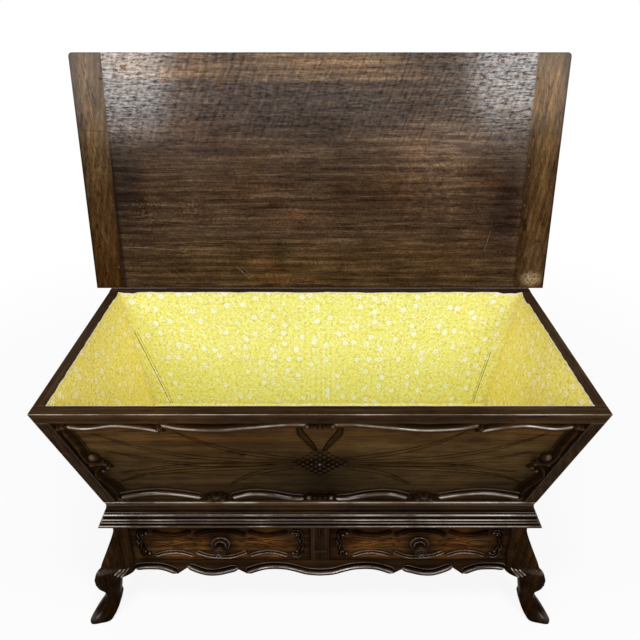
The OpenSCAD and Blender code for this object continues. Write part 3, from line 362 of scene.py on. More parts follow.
# The lid's marks, in millimetres: X along the lid from its middle, Y from the hinges to the front edge.
# Patches multiply the wood's colour, strokes mix in their own
lidMarks = {
    "turn": math.radians(-80), "place": (0, -0.72237, 0.10518), "stir": 0.07,
    "patches": [
        # x, y, half width, half height, softness, tint
        (0, 40, 900, 130, 0.8, (1.10, 1.05, 0.76)),
        (-60, 500, 520, 75, 0.6, (0.82, 0.86, 1.05)),
        (-360, 430, 260, 90, 0.9, (1.30, 1.30, 1.40)),
        (330, 420, 230, 60, 0.8, (1.75, 1.85, 2.10)),
        (320, 310, 130, 120, 0.7, (1.55, 1.60, 1.70)),
        # painted shade beside the left cleat
        (-538, 300, 62, 165, 0.8, (0.42, 0.46, 0.56)),
        (-75, 205, 110, 34, 0.8, (1.15, 1.00, 0.92)),
        (-104, 106, 46, 36, 0.5, (0.66, 0.74, 0.66)),
        (515, 235, 62, 140, 0.6, (0.55, 0.52, 0.62)),
        (80, 250, 330, 60, 0.9, (0.80, 0.76, 0.72)),
        # painted glare near the right corner of the front edge
        (480, 560, 130, 100, 0.8, (1.60, 1.75, 2.10)),
    ],
    "sapwood": {"low": 557, "right": 300}, "sapTint": (2.35, 2.45, 2.35),
    # In metres: place, half width and half height
    "curl": (0.335, 0.330, 0.135, 0.125), "pitchCorner": (0.455, 0.600, 0.085, 0.055),
    "ripple": {"turn": 21, "gap": 0.0133, "low": 405},
    "knots": ((-0.492, 0.237, 0.066), (-0.356, 0.232, 0.045), (-0.30, 0.205, 0.026)),
    "strokes": [
        # from x, y to x, y, half width, strength, colour
        (-640, 475, -300, 473, 0.9, 0.55, "dark"), (-575, 472, -380, 471, 0.7, 0.45, "pale"),
        (197, 480, 350, 476, 1.8, 0.85, "dark"), (350, 476, 465, 470, 2.2, 0.95, "dark"),
        (440, 470, 560, 466, 2.0, 0.85, "dark"), (443, 471.5, 556, 470, 1.7, 0.8, "pale"),
        (-240, 64, -205, 30, 0.8, 0.7, "pale"), (-226, 66, -190, 30, 0.7, 0.45, "pale"),
        (-565, 122, -470, 119, 1.0, 0.75, "pale"), (-470, 119, -385, 108, 0.8, 0.5, "pale"),
        (-22, 262, -17, 254, 1.0, 0.7, "pale"), (-470, 242, -340, 232, 0.7, 0.4, "pale"),
        (-480, 80, -400, 20, 0.6, 0.3, "pale"), (-455, 84, -375, 22, 0.6, 0.25, "pale"),
        (-430, 84, -360, 30, 0.6, 0.25, "pale"), (467, 0, 470, 110, 1.0, 0.5, "dark"),
        (470, 110, 482, 170, 1.0, 0.5, "pale"), (-40, 218, 240, 190, 1.6, 0.45, "dark"),
        (240, 190, 420, 170, 1.8, 0.5, "dark"), (-30, 262, 190, 252, 1.3, 0.4, "dark"),
        (-220, 270, -60, 282, 1.3, 0.4, "dark"), (-480, 318, -300, 322, 1.2, 0.35, "dark"),
    ],
    "dark": (0.010, 0.006, 0.004, 1), "pale": (0.300, 0.240, 0.170, 1), "pitch": (0.016, 0.010, 0.008, 1),
}


def flatOnLid(place):
    across, up, _ = place.mapped((lidMarks["turn"], 0, 0), lidMarks["place"]).parts()
    return across, up, addNode(place.tree, "ShaderNodeCombineXYZ", {0: across, 1: up, 2: 0.0})[0]


def strokesOn(flat, color, strokes):
    for x0, y0, x1, y1, width, strength, tone in strokes:
        mask = strokeOn(flat, (x0 / 1000, y0 / 1000), (x1 / 1000, y1 / 1000), width / 1000)
        color = color.covered(mask * strength, lidMarks[tone])
    return color


def lidExtra(place, color, coat, height):
    across, up, flat = flatOnLid(place)
    stir, shift = lidMarks["stir"], lidMarks["stir"] / 2
    stirred = flat.vectors("ADD", flat.noise(11.0, 3.0, output="Color").vectors("MULTIPLY", (stir, stir, 0.0)))
    for x, y, wide, high, edge, tone in lidMarks["patches"]:
        mask = patchOn(stirred, x / 1000 + shift, y / 1000 + shift, wide / 1000, high / 1000, edge)
        color = color.toned(mask, tone)
    fine = stirred.noise(130.0, 4.0, 0.8)
    color = color.toned(fine.spread(0.50, 0.66), (1.60, 1.56, 1.50))
    color = color.toned(fine.spread(0.50, 0.34), (0.58, 0.58, 0.60))
    # Sapwood along the front edge, with a crisp lower border
    sap = {key: value / 1000 for key, value in lidMarks["sapwood"].items()}
    inside = (up - (flat.streaks(5.0, 30.0) * 0.022 + (sap["low"] - 0.006))).spread(0.0, 0.007)
    inside *= across.spread(sap["right"], sap["right"] - 0.16)
    inside *= flat.streaks(2.5, 28.0, 3.0).spread(0.25, 0.6, 0.45, 1.0)
    color = color.toned(inside, lidMarks["sapTint"])
    # Ripples: slanting strokes, narrow on the right and broad on the left; the broad ones tone the wood lighter and
    # darker in bands, painted light and shade
    ripple = lidMarks["ripple"]
    slanted, drift = flat.mapped((0, 0, math.radians(ripple["turn"]))), flat.streaks(9.0, 14.0)
    slant = slanted.parts()[0]
    wave = ((slant * (1 / ripple["gap"]) + drift * 1.3) * fullTurn).sums("SINE") * 0.5 + 0.5
    dashes = slanted.streaks(75.0, 34.0, 1.0).spread(0.42, 0.58)
    reachUp = (flat.streaks(7.0, 7.0) * 0.09 + up).spread(ripple["low"] / 1000 + 0.03, ripple["low"] / 1000 + 0.10)
    reached = dashes * reachUp
    fineCut = wave.spread(0.72, 0.9) * reached * across.spread(-0.05, 0.22, 0.25, 1.0)
    color = color.covered(fineCut * 0.62, lidMarks["dark"])
    broadWave = ((slant * (0.62 / ripple["gap"]) + drift * 1.6) * fullTurn).sums("SINE")
    broadCut = broadWave * across.spread(0.05, -0.2, 0.3, 1.0) * reached
    color = color.toned(broadCut.spread(0.0, 1.0, 0.0, 0.8), (1.75, 1.7, 1.65))
    color = color.toned(broadCut.spread(0.0, -1.0, 0.0, 0.8), (0.55, 0.55, 0.58))
    # Curly mottling right of the middle
    curl, mottle = patchOn(stirred, *lidMarks["curl"], 0.5), stirred.noise(52.0, 3.0, 0.6)
    color = color.toned(curl * mottle.spread(0.45, 0.62), (1.5, 1.45, 1.4))
    color = color.toned(curl * mottle.spread(0.42, 0.34), (0.6, 0.6, 0.6))
    # Knots: pale mottled swirls round a dark eye
    for x, y, size in lidMarks["knots"]:
        gap = stirred.vectors("SUBTRACT", (x + shift, y + shift, 0)).vectors("MULTIPLY", (1.0, 1.25, 0.0)).length()
        swirl, around = (gap * 190.0 + mottle * 34.0).sums("SINE"), gap.spread(size, size * 0.3)
        color = color.toned(around * swirl.spread(0.1, 0.9), (1.7, 1.6, 1.4))
        color = color.toned(around * swirl.spread(-0.1, -0.9), (0.5, 0.5, 0.55))
    # Dark pitch marks in the far corner
    pitch = slanted.streaks(95.0, 48.0, 2.0, 0.6).spread(0.52, 0.56)
    color = color.covered(patchOn(flat, *lidMarks["pitchCorner"], 0.5) * pitch, lidMarks["pitch"])
    color = strokesOn(flat, color, lidMarks["strokes"])
    border = highest(up.spread(0.006, 0.0), up.spread(0.627, 0.632), abs(across).spread(0.5585, 0.5665))
    color = color.covered(border * 0.8, lidMarks["dark"])
    # Wax shines on the upper third
    waxed = (flat.streaks(6.0, 12.0) * 0.2 + up).spread(0.40, 0.66)
    broken = flat.streaks(48.0, 170.0, 4.0, 0.7).spread(0.38, 0.62, 0.06, 0.78)
    return color, waxed * (wave * -0.08 + broken), wave * reached * 1.4 + height


# The cleats: darker inner margins, a crack, a rubbed corner, and upper parts lighter and bluer, a painted sheen
cleatMarks = {
    "strokes": [
        (-650, 440, -560, 436, 1.4, 0.7, "dark"), (-571, 540, -567, 632, 1.6, 0.6, "dark"),
        (-612, 540, -605, 470, 0.9, 0.5, "pale"), (-618, 170, -604, 130, 0.8, 0.5, "pale"),
        (548, 556, 552, 632, 1.2, 0.6, "dark"), (566, 250, 640, 246, 0.8, 0.35, "dark"),
    ],
    "rubbed": (0.612, 0.028, 0.034, 0.026), "rubbedTone": (0.42, 0.31, 0.17, 1),
}


def cleatExtra(place, color, coat, height):
    across, up, flat = flatOnLid(place)
    high, inner = up.spread(0.28, 0.60), flat.streaks(30.0, 6.0) * 0.012 + abs(across)
    for mask, tone in (
            # painted sheen: the upper part lighter and bluer
            (high, (1.45, 1.55, 1.75)),
            (across.spread(0.0, 0.1), (1.15, 1.12, 1.05)),
            (inner.spread(0.598, 0.580) * up.spread(0.46, 0.30), (0.50, 0.46, 0.42)),
            (up.spread(0.34, 0.10) * across.spread(0.1, 0.0), (0.70, 0.54, 0.36)),
            (abs(inner - 0.622).spread(0.016, 0.002) * up.spread(0.10, 0.40), (1.4, 1.35, 1.2)),
            (inner.spread(0.628, 0.654) * 0.8, (0.50, 0.46, 0.45))):
        color = color.toned(mask, tone)
    rubbed = patchOn(flat, *cleatMarks["rubbed"], 0.6) * flat.noise(160.0, 3.0).spread(0.36, 0.56)
    color = color.covered(rubbed * 0.75, cleatMarks["rubbedTone"])
    specks = inner.spread(0.592, 0.580) * flat.noise(210.0).spread(0.68, 0.74)
    color = strokesOn(flat, color.covered(specks * 0.7, lidMarks["pale"]), cleatMarks["strokes"])
    border = highest(up.spread(0.005, 0.0), up.spread(0.628, 0.632), abs(across).spread(0.644, 0.650))
    return color.covered(border * 0.75, lidMarks["dark"]), high * 0.10, height


# The panel is darker downwards and round the rosette, and lighter and warmer along its top: painted shade and painted
# light
def panelExtra(place, color, coat, height):
    across, _, z = place.parts()
    up = place.noise(6.0) * 0.08 + (z - 0.04)
    color = color.toned(up.spread(0.55, 0.42), (0.52, 0.52, 0.56))
    color = color.toned(up.spread(0.56, 0.62), (1.20, 1.05, 0.90))
    return color.toned(abs(across).spread(0.17, 0.02) * up.spread(0.58, 0.50), (0.45, 0.45, 0.48)), coat, height


# A drawer's front is dark along its top, a painted shadow under the cornice, and along its ends and round its knob, and
# golden to both sides of its knob
def drawerExtra(place, color, coat, height):
    across, _, up = place.parts()
    out = abs(abs(across) - stand["drawerX"] / 1000)
    golden = out.spread(0.04, 0.07) * out.spread(0.17, 0.13) * place.noise(17.0).spread(0.40, 0.60)
    for mask, tone in ((up.spread(0.232, 0.264), (0.36, 0.30, 0.30)), (out.spread(0.15, 0.19), (0.45, 0.40, 0.40)),
                       (golden, (1.7, 1.45, 1.2)), (out.spread(0.05, 0.02), (0.45, 0.40, 0.40))):
        color = color.toned(mask, tone)
    return color, coat, height


# The legs are darker downwards: painted shade
def legExtra(place, color, coat, height):
    return color.toned(place.parts()[2].spread(0.17, 0.11), (0.60, 0.56, 0.56)), coat, height


lidWood = woodMaterial("lidWalnut", "lidWood", (lidMarks["turn"], 0, 0), 1.0, lidExtra)
cleatWood = woodMaterial("cleatWalnut", "cleatWood", alongZ, 4.0, cleatExtra)
pegWood = woodMaterial("pegWalnut", "cleatWood", alongY, 9.0)
frameAlongX = woodMaterial("frameWalnut", "frameWood", alongX, 2.0)
frameUp = woodMaterial("frameWalnutUpright", "stileWood", alongZ, 3.0)
frameAlongY = woodMaterial("frameWalnutDeep", "frameWood", alongY, 5.0)
panelWood = woodMaterial("panelWalnut", "panelWood", alongX, 6.0, panelExtra)
drawerWood = woodMaterial("drawerWalnut", "drawerWood", alongX, 7.0, drawerExtra)
darkAlongX = woodMaterial("darkWalnut", "darkWood", alongX, 8.0)
darkUp = woodMaterial("darkWalnutUpright", "darkWood", alongZ, 10.0, legExtra)
darkAlongY = woodMaterial("darkWalnutDeep", "darkWood", alongY, 11.0)
rawAlongX = woodMaterial("rawPoplar", "rawWood", alongX, 12.0)
rawAlongY = woodMaterial("rawPoplarDeep", "rawWood", alongY, 13.0)

ironLook = {"color": (0.035, 0.032, 0.030, 1), "rust": (0.075, 0.032, 0.014, 1), "rough": 0.52, "metallic": 0.85}
iron, tree, shader = newMaterial("darkIron")
place = addNode(tree, "ShaderNodeTexCoord")["Object"]
rust = place.noise(130.0, 5.0, 0.7).spread(0.5, 0.7)
bump = addNode(tree, "ShaderNodeBump", {"Height": place.noise(420.0, 4.0, 0.6), "Strength": 0.4, "Distance": 0.0004})
feed(shader, {
    "Base Color": mixed(rust, ironLook["color"], ironLook["rust"]), "Roughness": rust * 0.3 + ironLook["rough"],
    "Normal": bump[0], "Metallic": ironLook["metallic"]})

# Lining paper: a small sprigged print on yellow, with its torn edges white. UVs are metres on the sheet.
paperLook = {
    "ground": (0.790, 0.715, 0.105), "pale": (0.870, 0.880, 0.290), "white": (0.950, 0.960, 0.800),
    "ochre": (0.640, 0.430, 0.060), "green": (0.500, 0.520, 0.150), "torn": (0.800, 0.790, 0.720),
    "stain": (0.520, 0.340, 0.090), "paintedEndWallShade": (1.100, 0.985, 0.860), "seam": (0.120, 0.070, 0.025),
    "flowers": 24.0, "sprigs": 66.0,
    # Seams near the far corners: from, to and half width
    "seams": [((1.1182, 0.8603), (1.1616, 0.6306), 0.0026), ((1.1262, 0.8603), (1.1700, 0.6306), 0.0012),
              ((2.1861, 0.7983), (2.1794, 0.6340), 0.0024), ((2.1800, 0.7983), (2.1736, 0.6340), 0.0018)],
}


def cells(place, scale, seed):
    shifted = place.vectors("ADD", (seed, seed * 0.7, 0))
    made = addNode(place.tree, "ShaderNodeTexVoronoi", {"Vector": shifted, "Scale": scale, "Randomness": 0.8},
                   voronoi_dimensions="2D")
    x, y, _ = shifted.vectors("SUBTRACT", made["Position"]).parts()
    return (x, y, *made["Color"].parts())


def paperMaterial():
    look = {k: (*v, 1) if isinstance(v, tuple) else v for k, v in paperLook.items()}
    material, tree, shader = newMaterial("liningPaper")
    place = addNode(tree, "ShaderNodeUVMap", uv_map="UVMap")[0]
    solid = addNode(tree, "ShaderNodeTexCoord")["Object"]
    color = mixed(place.noise(150.0, 3.0, 0.7).spread(0.40, 0.60), look["ground"], look["pale"])
    # Thin tendrils
    color = color.covered(abs(place.noise(62.0, 1.0) - 0.5).spread(0.022, 0.008, 0, 0.8), look["white"])
    # Leaves in four colours, each turned its own way
    for seed, tone, scale, keep in ((3.1, "ochre", 1.0, 0.55), (8.3, "white", 0.9, 0.5), (5.7, "green", 0.8, 0.6),
                                    (11.9, "pale", 1.6, 0.3)):
        x, y, chance, turning, _ = cells(place, look["sprigs"] * scale, seed)
        cosine, sine = (turning * fullTurn).sums("COSINE"), (turning * fullTurn).sums("SINE")
        along = (x * cosine + y * sine) / (0.0046 / scale)
        across = (y * cosine - x * sine) / (0.0017 / scale)
        leaf = (along * along + across * across).spread(1.0, 0.75) * chance.spread(keep, keep + 0.01)
        color = color.covered(leaf * 0.55, look[tone])
    # White five-petalled flowers with green rims and ochre eyes
    uneven = place.noise(260.0, output="Color").vectors("SUBTRACT", (0.5, 0.5, 0.5))
    swayed = place.vectors("ADD", uneven.vectors("MULTIPLY", (0.010, 0.010, 0.0)))
    x, y, chance, _, turning = cells(swayed, look["flowers"], 0.0)
    reach, kept = (x * x + y * y).sums("SQRT"), chance.spread(0.3, 0.31)
    petals = (y.sums("ARCTAN2", x) * 5.0 + turning * fullTurn).sums("COSINE")
    edge = reach / (petals * 0.0024 + 0.0072)
    for mask, tone in ((edge.spread(1.35, 1.2) * kept * 0.35, "green"), (edge.spread(1.05, 0.9) * kept, "white"),
                       (reach.spread(0.0016, 0.0011) * kept, "ochre")):
        color = color.covered(mask, look[tone])
    # Stains; the end walls' warmer tint, painted shade and warm reflected light; painted shade along the sheets' sides
    # and foot; and the white of torn edges
    color = color.covered(solid.noise(3.4, 4.0, 0.6).spread(0.5, 0.8, 0.0, 0.28), look["stain"])
    color = color.toned(attribute(tree, "paintedEndWallShade"), paperLook["paintedEndWallShade"])
    color = color.covered(attribute(tree, "grimeAndShade") * 0.5, look["stain"])
    for start, end, width in paperLook["seams"]:
        color = color.covered(strokeOn(place, start, end, width) * 0.75, look["seam"])
    fine = solid.noise(900.0)
    bump = addNode(tree, "ShaderNodeBump", {
        "Height": solid.noise(26.0, 4.0) * 6.0 + fine, "Strength": 0.3, "Distance": 0.0006})
    feed(shader, {
        "Base Color": color.covered(attribute(tree, "torn").spread(0.45, 0.55), look["torn"]),
        "Roughness": fine * 0.1 + 0.7, "Normal": bump[0], "Specular IOR Level": 0.25})
    return material


liningPaper = paperMaterial()
print("materials made")


# Mesh helpers
def placed(name, data):
    made = bpy.data.objects.new(name, data)
    bpy.context.scene.collection.objects.link(made)
    return made


# The mesh that an object's modifiers make of it; the object goes
def settled(holder):
    made = bpy.data.meshes.new_from_object(holder.evaluated_get(bpy.context.evaluated_depsgraph_get()))
    holder.modifiers.clear()
    bpy.data.objects.remove(holder)
    return made


def finishedMesh(name, work):
    made = bpy.data.meshes.new(name)
    work.to_mesh(made)
    work.free()
    return made


def meshOf(name, points, faces):
    mesh = bpy.data.meshes.new(name)
    mesh.from_pydata([tuple(p) for p in points], [], [tuple(f) for f in faces])
    return mesh


# Faces of rings of n points each, closed at both ends
def tubeFaces(rings, n):
    sides = [(i * n + j, i * n + (j + 1) % n, (i + 1) * n + (j + 1) % n, (i + 1) * n + j)
             for i in range(rings - 1) for j in range(n)]
    return sides + [tuple(range(n))[::-1], tuple(range((rings - 1) * n, rings * n))]


def joined(name, meshes, merge=1e-4, closed=True):
    work = bmesh.new()
    for mesh in meshes:
        work.from_mesh(mesh)
    bmesh.ops.remove_doubles(work, verts=work.verts, dist=merge)
    if closed:
        bmesh.ops.recalc_face_normals(work, faces=work.faces)
    return finishedMesh(name, work)


def moved(mesh, matrix):
    made = mesh.copy()
    made.transform(matrix)
    if matrix.determinant() < 0:
        made.flip_normals()
    return made


def readPoints(mesh):
    co = np.empty(len(mesh.vertices) * 3)
    mesh.vertices.foreach_get("co", co)
    return co.reshape(-1, 3)


def setMark(mesh, name, values):
    mark = mesh.attributes.get(name) or mesh.attributes.new(name, "FLOAT", "POINT")
    mark.data.foreach_set("value", np.asarray(values, np.float32))


def marksOf(mesh, name):
    values = np.zeros(len(mesh.vertices), np.float32)
    mark = mesh.attributes.get(name)
    if mark:
        mark.data.foreach_get("value", values)
    return values


# Marks raised edges as worn and hollows as grimy, from how the surface bends at each point
def markRelief(mesh, gain=1 / 160, rounds=1, keepGrimeAndShade=None):
    co = readPoints(mesh)
    normals = np.empty(len(co) * 3)
    mesh.vertex_normals.foreach_get("vector", normals)
    normals = normals.reshape(-1, 3)
    edges = np.empty(len(mesh.edges) * 2, np.int32)
    mesh.edges.foreach_get("vertices", edges)
    a, b = edges.reshape(-1, 2).T
    apart = co[b] - co[a]
    square = np.maximum((apart ** 2).sum(1), 1e-10)
    bend, count = np.zeros(len(co)), np.zeros(len(co))
    np.add.at(bend, a, (normals[a] * apart).sum(1) / square)
    np.add.at(bend, b, -(normals[b] * apart).sum(1) / square)
    np.add.at(count, a, 1)
    np.add.at(count, b, 1)
    bend /= np.maximum(count, 1)
    for _ in range(rounds):
        total = bend.copy()
        np.add.at(total, a, bend[b])
        np.add.at(total, b, bend[a])
        bend = total / (count + 1)
    setMark(mesh, "wornAndHighlight", np.clip(-bend * gain - 0.15, 0, 1))
    grimeAndShade = np.clip(bend * gain, 0, 1)
    if keepGrimeAndShade is not None:
        grimeAndShade = np.maximum(grimeAndShade, keepGrimeAndShade)
    setMark(mesh, "grimeAndShade", grimeAndShade)


# Where a piece gives its own painted highlight (above 3) or painted shade (below 3), that holds
def markPaintedLight(mesh):
    paintedLightAndShade = mesh.attributes.get("paintedLightAndShade")
    if paintedLightAndShade:
        values = marksOf(mesh, "paintedLightAndShade")
        own = values > 1.5
        setMark(mesh, "wornAndHighlight", np.where(own, np.clip(values - 3, 0, 1), marksOf(mesh, "wornAndHighlight")))
        setMark(mesh, "grimeAndShade", np.where(own, np.clip(3 - values, 0, 1), marksOf(mesh, "grimeAndShade")))
        mesh.attributes.remove(mesh.attributes["paintedLightAndShade"])
    if mesh.attributes.get("field"):
        setMark(mesh, "wornAndHighlight", marksOf(mesh, "wornAndHighlight") * (1 - marksOf(mesh, "field")))


def makePiece(name, mesh, body, material, slot, nodes=(), inFrame=False, sharp=38, relief=True, gain=1 / 160):
    if not inFrame:
        mesh.transform(toFrame)
    mesh.name = name
    mesh.materials.clear()
    mesh.materials.append(material)
    mesh.polygons.foreach_set("material_index", [0] * len(mesh.polygons))
    if sharp:
        mesh.shade_smooth()
        mesh.set_sharp_from_angle(angle=math.radians(sharp))
    if relief:
        markRelief(mesh, gain)
        markPaintedLight(mesh)
    piece = placed(name, mesh)
    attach(piece, body)
    if nodes:
        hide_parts(*nodes)
    return piece


# Flat faces keep their own normal, and the rounding between them takes it at its borders
def settleNormals(mesh):
    total, flat = np.zeros((len(mesh.vertices), 3)), np.zeros(len(mesh.vertices), bool)
    for kind in (0, 1):
        for face in mesh.polygons:
            if face.material_index == kind:
                corners = np.array(face.vertices)
                total[corners[~flat[corners]] if kind else corners] += np.array(face.normal) * face.area
        if not kind:
            flat = total.any(axis=1)
    total /= np.maximum(np.linalg.norm(total, axis=1), 1e-12)[:, None]
    normals = [tuple(face.normal) if face.material_index == 0 else tuple(total[i])
               for face in mesh.polygons for i in face.vertices]
    mesh.shade_smooth()
    mesh.normals_split_custom_set(normals)


# A board taken from its CAD node, with its arrises rounded, and marked for wear or dark; strong wear on an arris also
# paints a highlight there
def boardFromCad(node, body, material, slot, bevel=1.6, wornAndHighlight=0.2, grimeAndShade=0.0, steps=5):
    work = bmesh.new()
    work.from_mesh(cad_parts[node].data)
    bmesh.ops.remove_doubles(work, verts=work.verts, dist=2e-5)
    bmesh.ops.dissolve_limit(work, angle_limit=math.radians(0.5), verts=work.verts, edges=work.edges)
    bare = finishedMesh(node + "_bare", work)
    temporary = placed(node + "_bare", bare)
    rounding = temporary.modifiers.new("rounding", "BEVEL")
    rounding.width, rounding.segments, rounding.material = bevel * 0.001, steps, 1
    rounding.limit_method, rounding.angle_limit = "ANGLE", math.radians(35)
    rounding.use_clamp_overlap = True
    bare.materials.append(None)
    bare.materials.append(None)
    mesh = settled(temporary)
    settleNormals(mesh)
    rounded = np.ones(len(mesh.vertices), bool)
    for face in mesh.polygons:
        if face.material_index != 1:
            rounded[list(face.vertices)] = False
    wear = rounded * wornAndHighlight
    # The rail's upper front arris is worn, and strongly enough to carry a painted highlight
    if node == "trough_rail_top":  # hands have rubbed its upper front arris
        co = readPoints(mesh)
        wear = rounded * np.where((co[:, 2] > 0.688) & (co[:, 1] < co[:, 1].min() + 0.006), 0.80, 0.1)
    setMark(mesh, "wornAndHighlight", wear)
    setMark(mesh, "grimeAndShade", rounded * grimeAndShade)
    return makePiece(node + "_shown", mesh, body, material, slot, [node], inFrame=True, sharp=0, relief=False)


def between(a, b, c, d, t):
    return 0.5 * (2 * b + (c - a) * t + (2 * a - 5 * b + 4 * c - d) * t * t + (3 * b - a - 3 * c + d) * t ** 3)


# A smooth line through points, with its steps about `step` long
def smoothLine(points, step=3.0):
    p = np.asarray(points, float)
    made = []
    for i in range(len(p) - 1):
        count = max(2, int(np.linalg.norm(p[i + 1] - p[i]) / step))
        for j in range(count):
            made.append(between(p[max(i - 1, 0)], p[i], p[i + 1], p[min(i + 2, len(p) - 1)], j / count))
    return np.array(made + [p[-1]])


def rightwards(path):
    return path if path[0][0] < path[-1][0] else path[::-1]


def sidesOf(path):
    along = np.gradient(path, axis=0)
    along /= np.maximum(np.linalg.norm(along, axis=1), 1e-9)[:, None]
    return np.stack([-along[:, 1], along[:, 0]], 1)


def lengthGone(path):
    return np.concatenate([[0], np.cumsum(np.linalg.norm(np.diff(path, axis=0), axis=1))])


# Nearest distance from many points to a line, and the share of its length there
def distanceTo(points, path, within=60):
    best, share = np.full(len(points), 1e6), np.zeros(len(points))
    low, high = path.min(0) - within, path.max(0) + within
    near = np.where(((points > low) & (points < high)).all(1))[0]
    if not len(near):
        return best, share
    q = points[near]
    gone = lengthGone(path)
    b, s = best[near], share[near]
    for i in range(len(path) - 1):
        step = path[i + 1] - path[i]
        square = max(step @ step, 1e-9)
        t = np.clip(((q - path[i]) @ step) / square, 0, 1)
        apart = np.hypot(*(q - path[i] - t[:, None] * step).T)
        closer = apart < b
        b[closer] = apart[closer]
        s[closer] = (gone[i] + t[closer] * math.sqrt(square)) / gone[-1]
    best[near], share[near] = b, s
    return best, share


# Geometry node trees
# A moulding swept along its paths, running out to a tip at each end
moulding, given, result = newGroup("mouldingAlongPath", {
    "Paths": "NodeSocketGeometry", "Profile": "NodeSocketObject", "Step": 2.5, "Run-out": 8.0, "Tip": 0.35,
    "Material": "NodeSocketMaterial"}, ("Geometry",), "GeometryNodeTree")
pathCurve = addNode(moulding, "GeometryNodeMeshToCurve", {0: given["Paths"]})[0]
evenCurve = addNode(moulding, "GeometryNodeResampleCurve", {"Curve": pathCurve, "Length": given["Step"]}, mode="LENGTH")
uprightCurve = addNode(moulding, "GeometryNodeSetCurveNormal", {0: evenCurve[0]}, mode="Z_UP")[0]
gone = addNode(moulding, "GeometryNodeSplineParameter")["Length"]
nearEnd = gone.sums("MINIMUM", addNode(moulding, "GeometryNodeSplineLength")["Length"] - gone)
runOut = nearEnd.sums("DIVIDE", given["Run-out"], clamp=True).sums("SQRT")
swell = (given["Tip"] * -1.0 + 1.0).sums("MULTIPLY_ADD", runOut, given["Tip"])
profileShape = addNode(moulding, "GeometryNodeObjectInfo", {"Object": given["Profile"]})["Geometry"]
profileCurve = addNode(moulding, "GeometryNodeMeshToCurve", {0: profileShape})[0]
swept = addNode(moulding, "GeometryNodeCurveToMesh", {
    "Curve": uprightCurve, "Profile Curve": profileCurve, "Scale": swell, "Fill Caps": True})[0]
realized = addNode(moulding, "GeometryNodeRealizeInstances", {0: swept})[0]
coated = addNode(moulding, "GeometryNodeSetMaterial", {"Geometry": realized, "Material": given["Material"]})
feed(result, {0: coated[0]})


def runModifier(name, mesh, group, values):
    holder = placed(name, mesh)
    modifier = holder.modifiers.new("nodes", "NODES")
    modifier.node_group = group
    for item in group.interface.items_tree:
        if item.name in values:
            modifier[item.identifier] = values[item.name]
    return settled(holder)


# Profiles are closed outlines: X across the moulding, Y out of the wood, and the painted highlight (above 0) or painted
# shade (below 0) along that line
def mouldingMesh(name, paths, profile, material, runOut=8.0, tip=0.35, step=2.5):
    outline = bpy.data.meshes.new(name + "_profile")
    points = [(p[0], -p[1], 0) for p in profile]
    outline.from_pydata(points, [(i, (i + 1) % len(points)) for i in range(len(points))], [])
    setMark(outline, "paintedLightAndShade", [3 + (p[2] if len(p) > 2 else 0) for p in profile])
    holder = placed(name + "_profile", outline)
    lines, edges = [], []
    for path in paths:
        first = len(lines)
        lines += [(x, y, 0) for x, y in path]
        edges += [(i, i + 1) for i in range(first, len(lines) - 1)]
    trail = bpy.data.meshes.new(name + "_paths")
    trail.from_pydata(lines, edges, [])
    made = runModifier(name, trail, moulding, {
        "Profile": holder, "Step": step, "Run-out": runOut, "Tip": tip, "Material": material})
    bpy.data.objects.remove(holder)
    return joined(name, [made])


# A bead of wood, in painted shade with a small painted glint towards the light
def ball(x, y, z, radius, flat=1.0):
    work = bmesh.new()
    bmesh.ops.create_uvsphere(work, u_segments=32, v_segments=20, radius=radius)
    mesh = finishedMesh("ball", work)
    facing = readPoints(mesh) @ np.array((-0.10, 0.45, 0.887)) / radius
    setMark(mesh, "paintedLightAndShade", 2.5 + 0.50 * np.clip(facing, 0, 1) + 0.68 * np.clip((facing - 0.78) / 0.20, 0, 1))
    mesh.transform(Matrix.Translation((x, y, z)) @ Matrix.Diagonal((1, 1, flat, 1)))
    return mesh


# An arch of points, with a painted highlight at `top`, an angle from its lower side, and painted shade at its foot
def arch(width, high, x=0.0, steps=14, top=2.2, soft=0.30, amount=1.0):
    return [(x + width / 2 * math.cos(a), high * math.sin(a),
             amount * math.exp(-((a - top) / soft) ** 2) - 0.75 * math.exp(-(a / 0.5) ** 2))
            for a in np.linspace(0, math.pi, steps + 1)]


# Half the width of a blade of the sprays at a share of its length
def bladeWidth(t, blade):
    return blade["tip"] + (blade["wide"] - blade["tip"]) * np.sin(np.pi * np.clip(t, 0, 1) ** blade["lean"]) ** 0.8


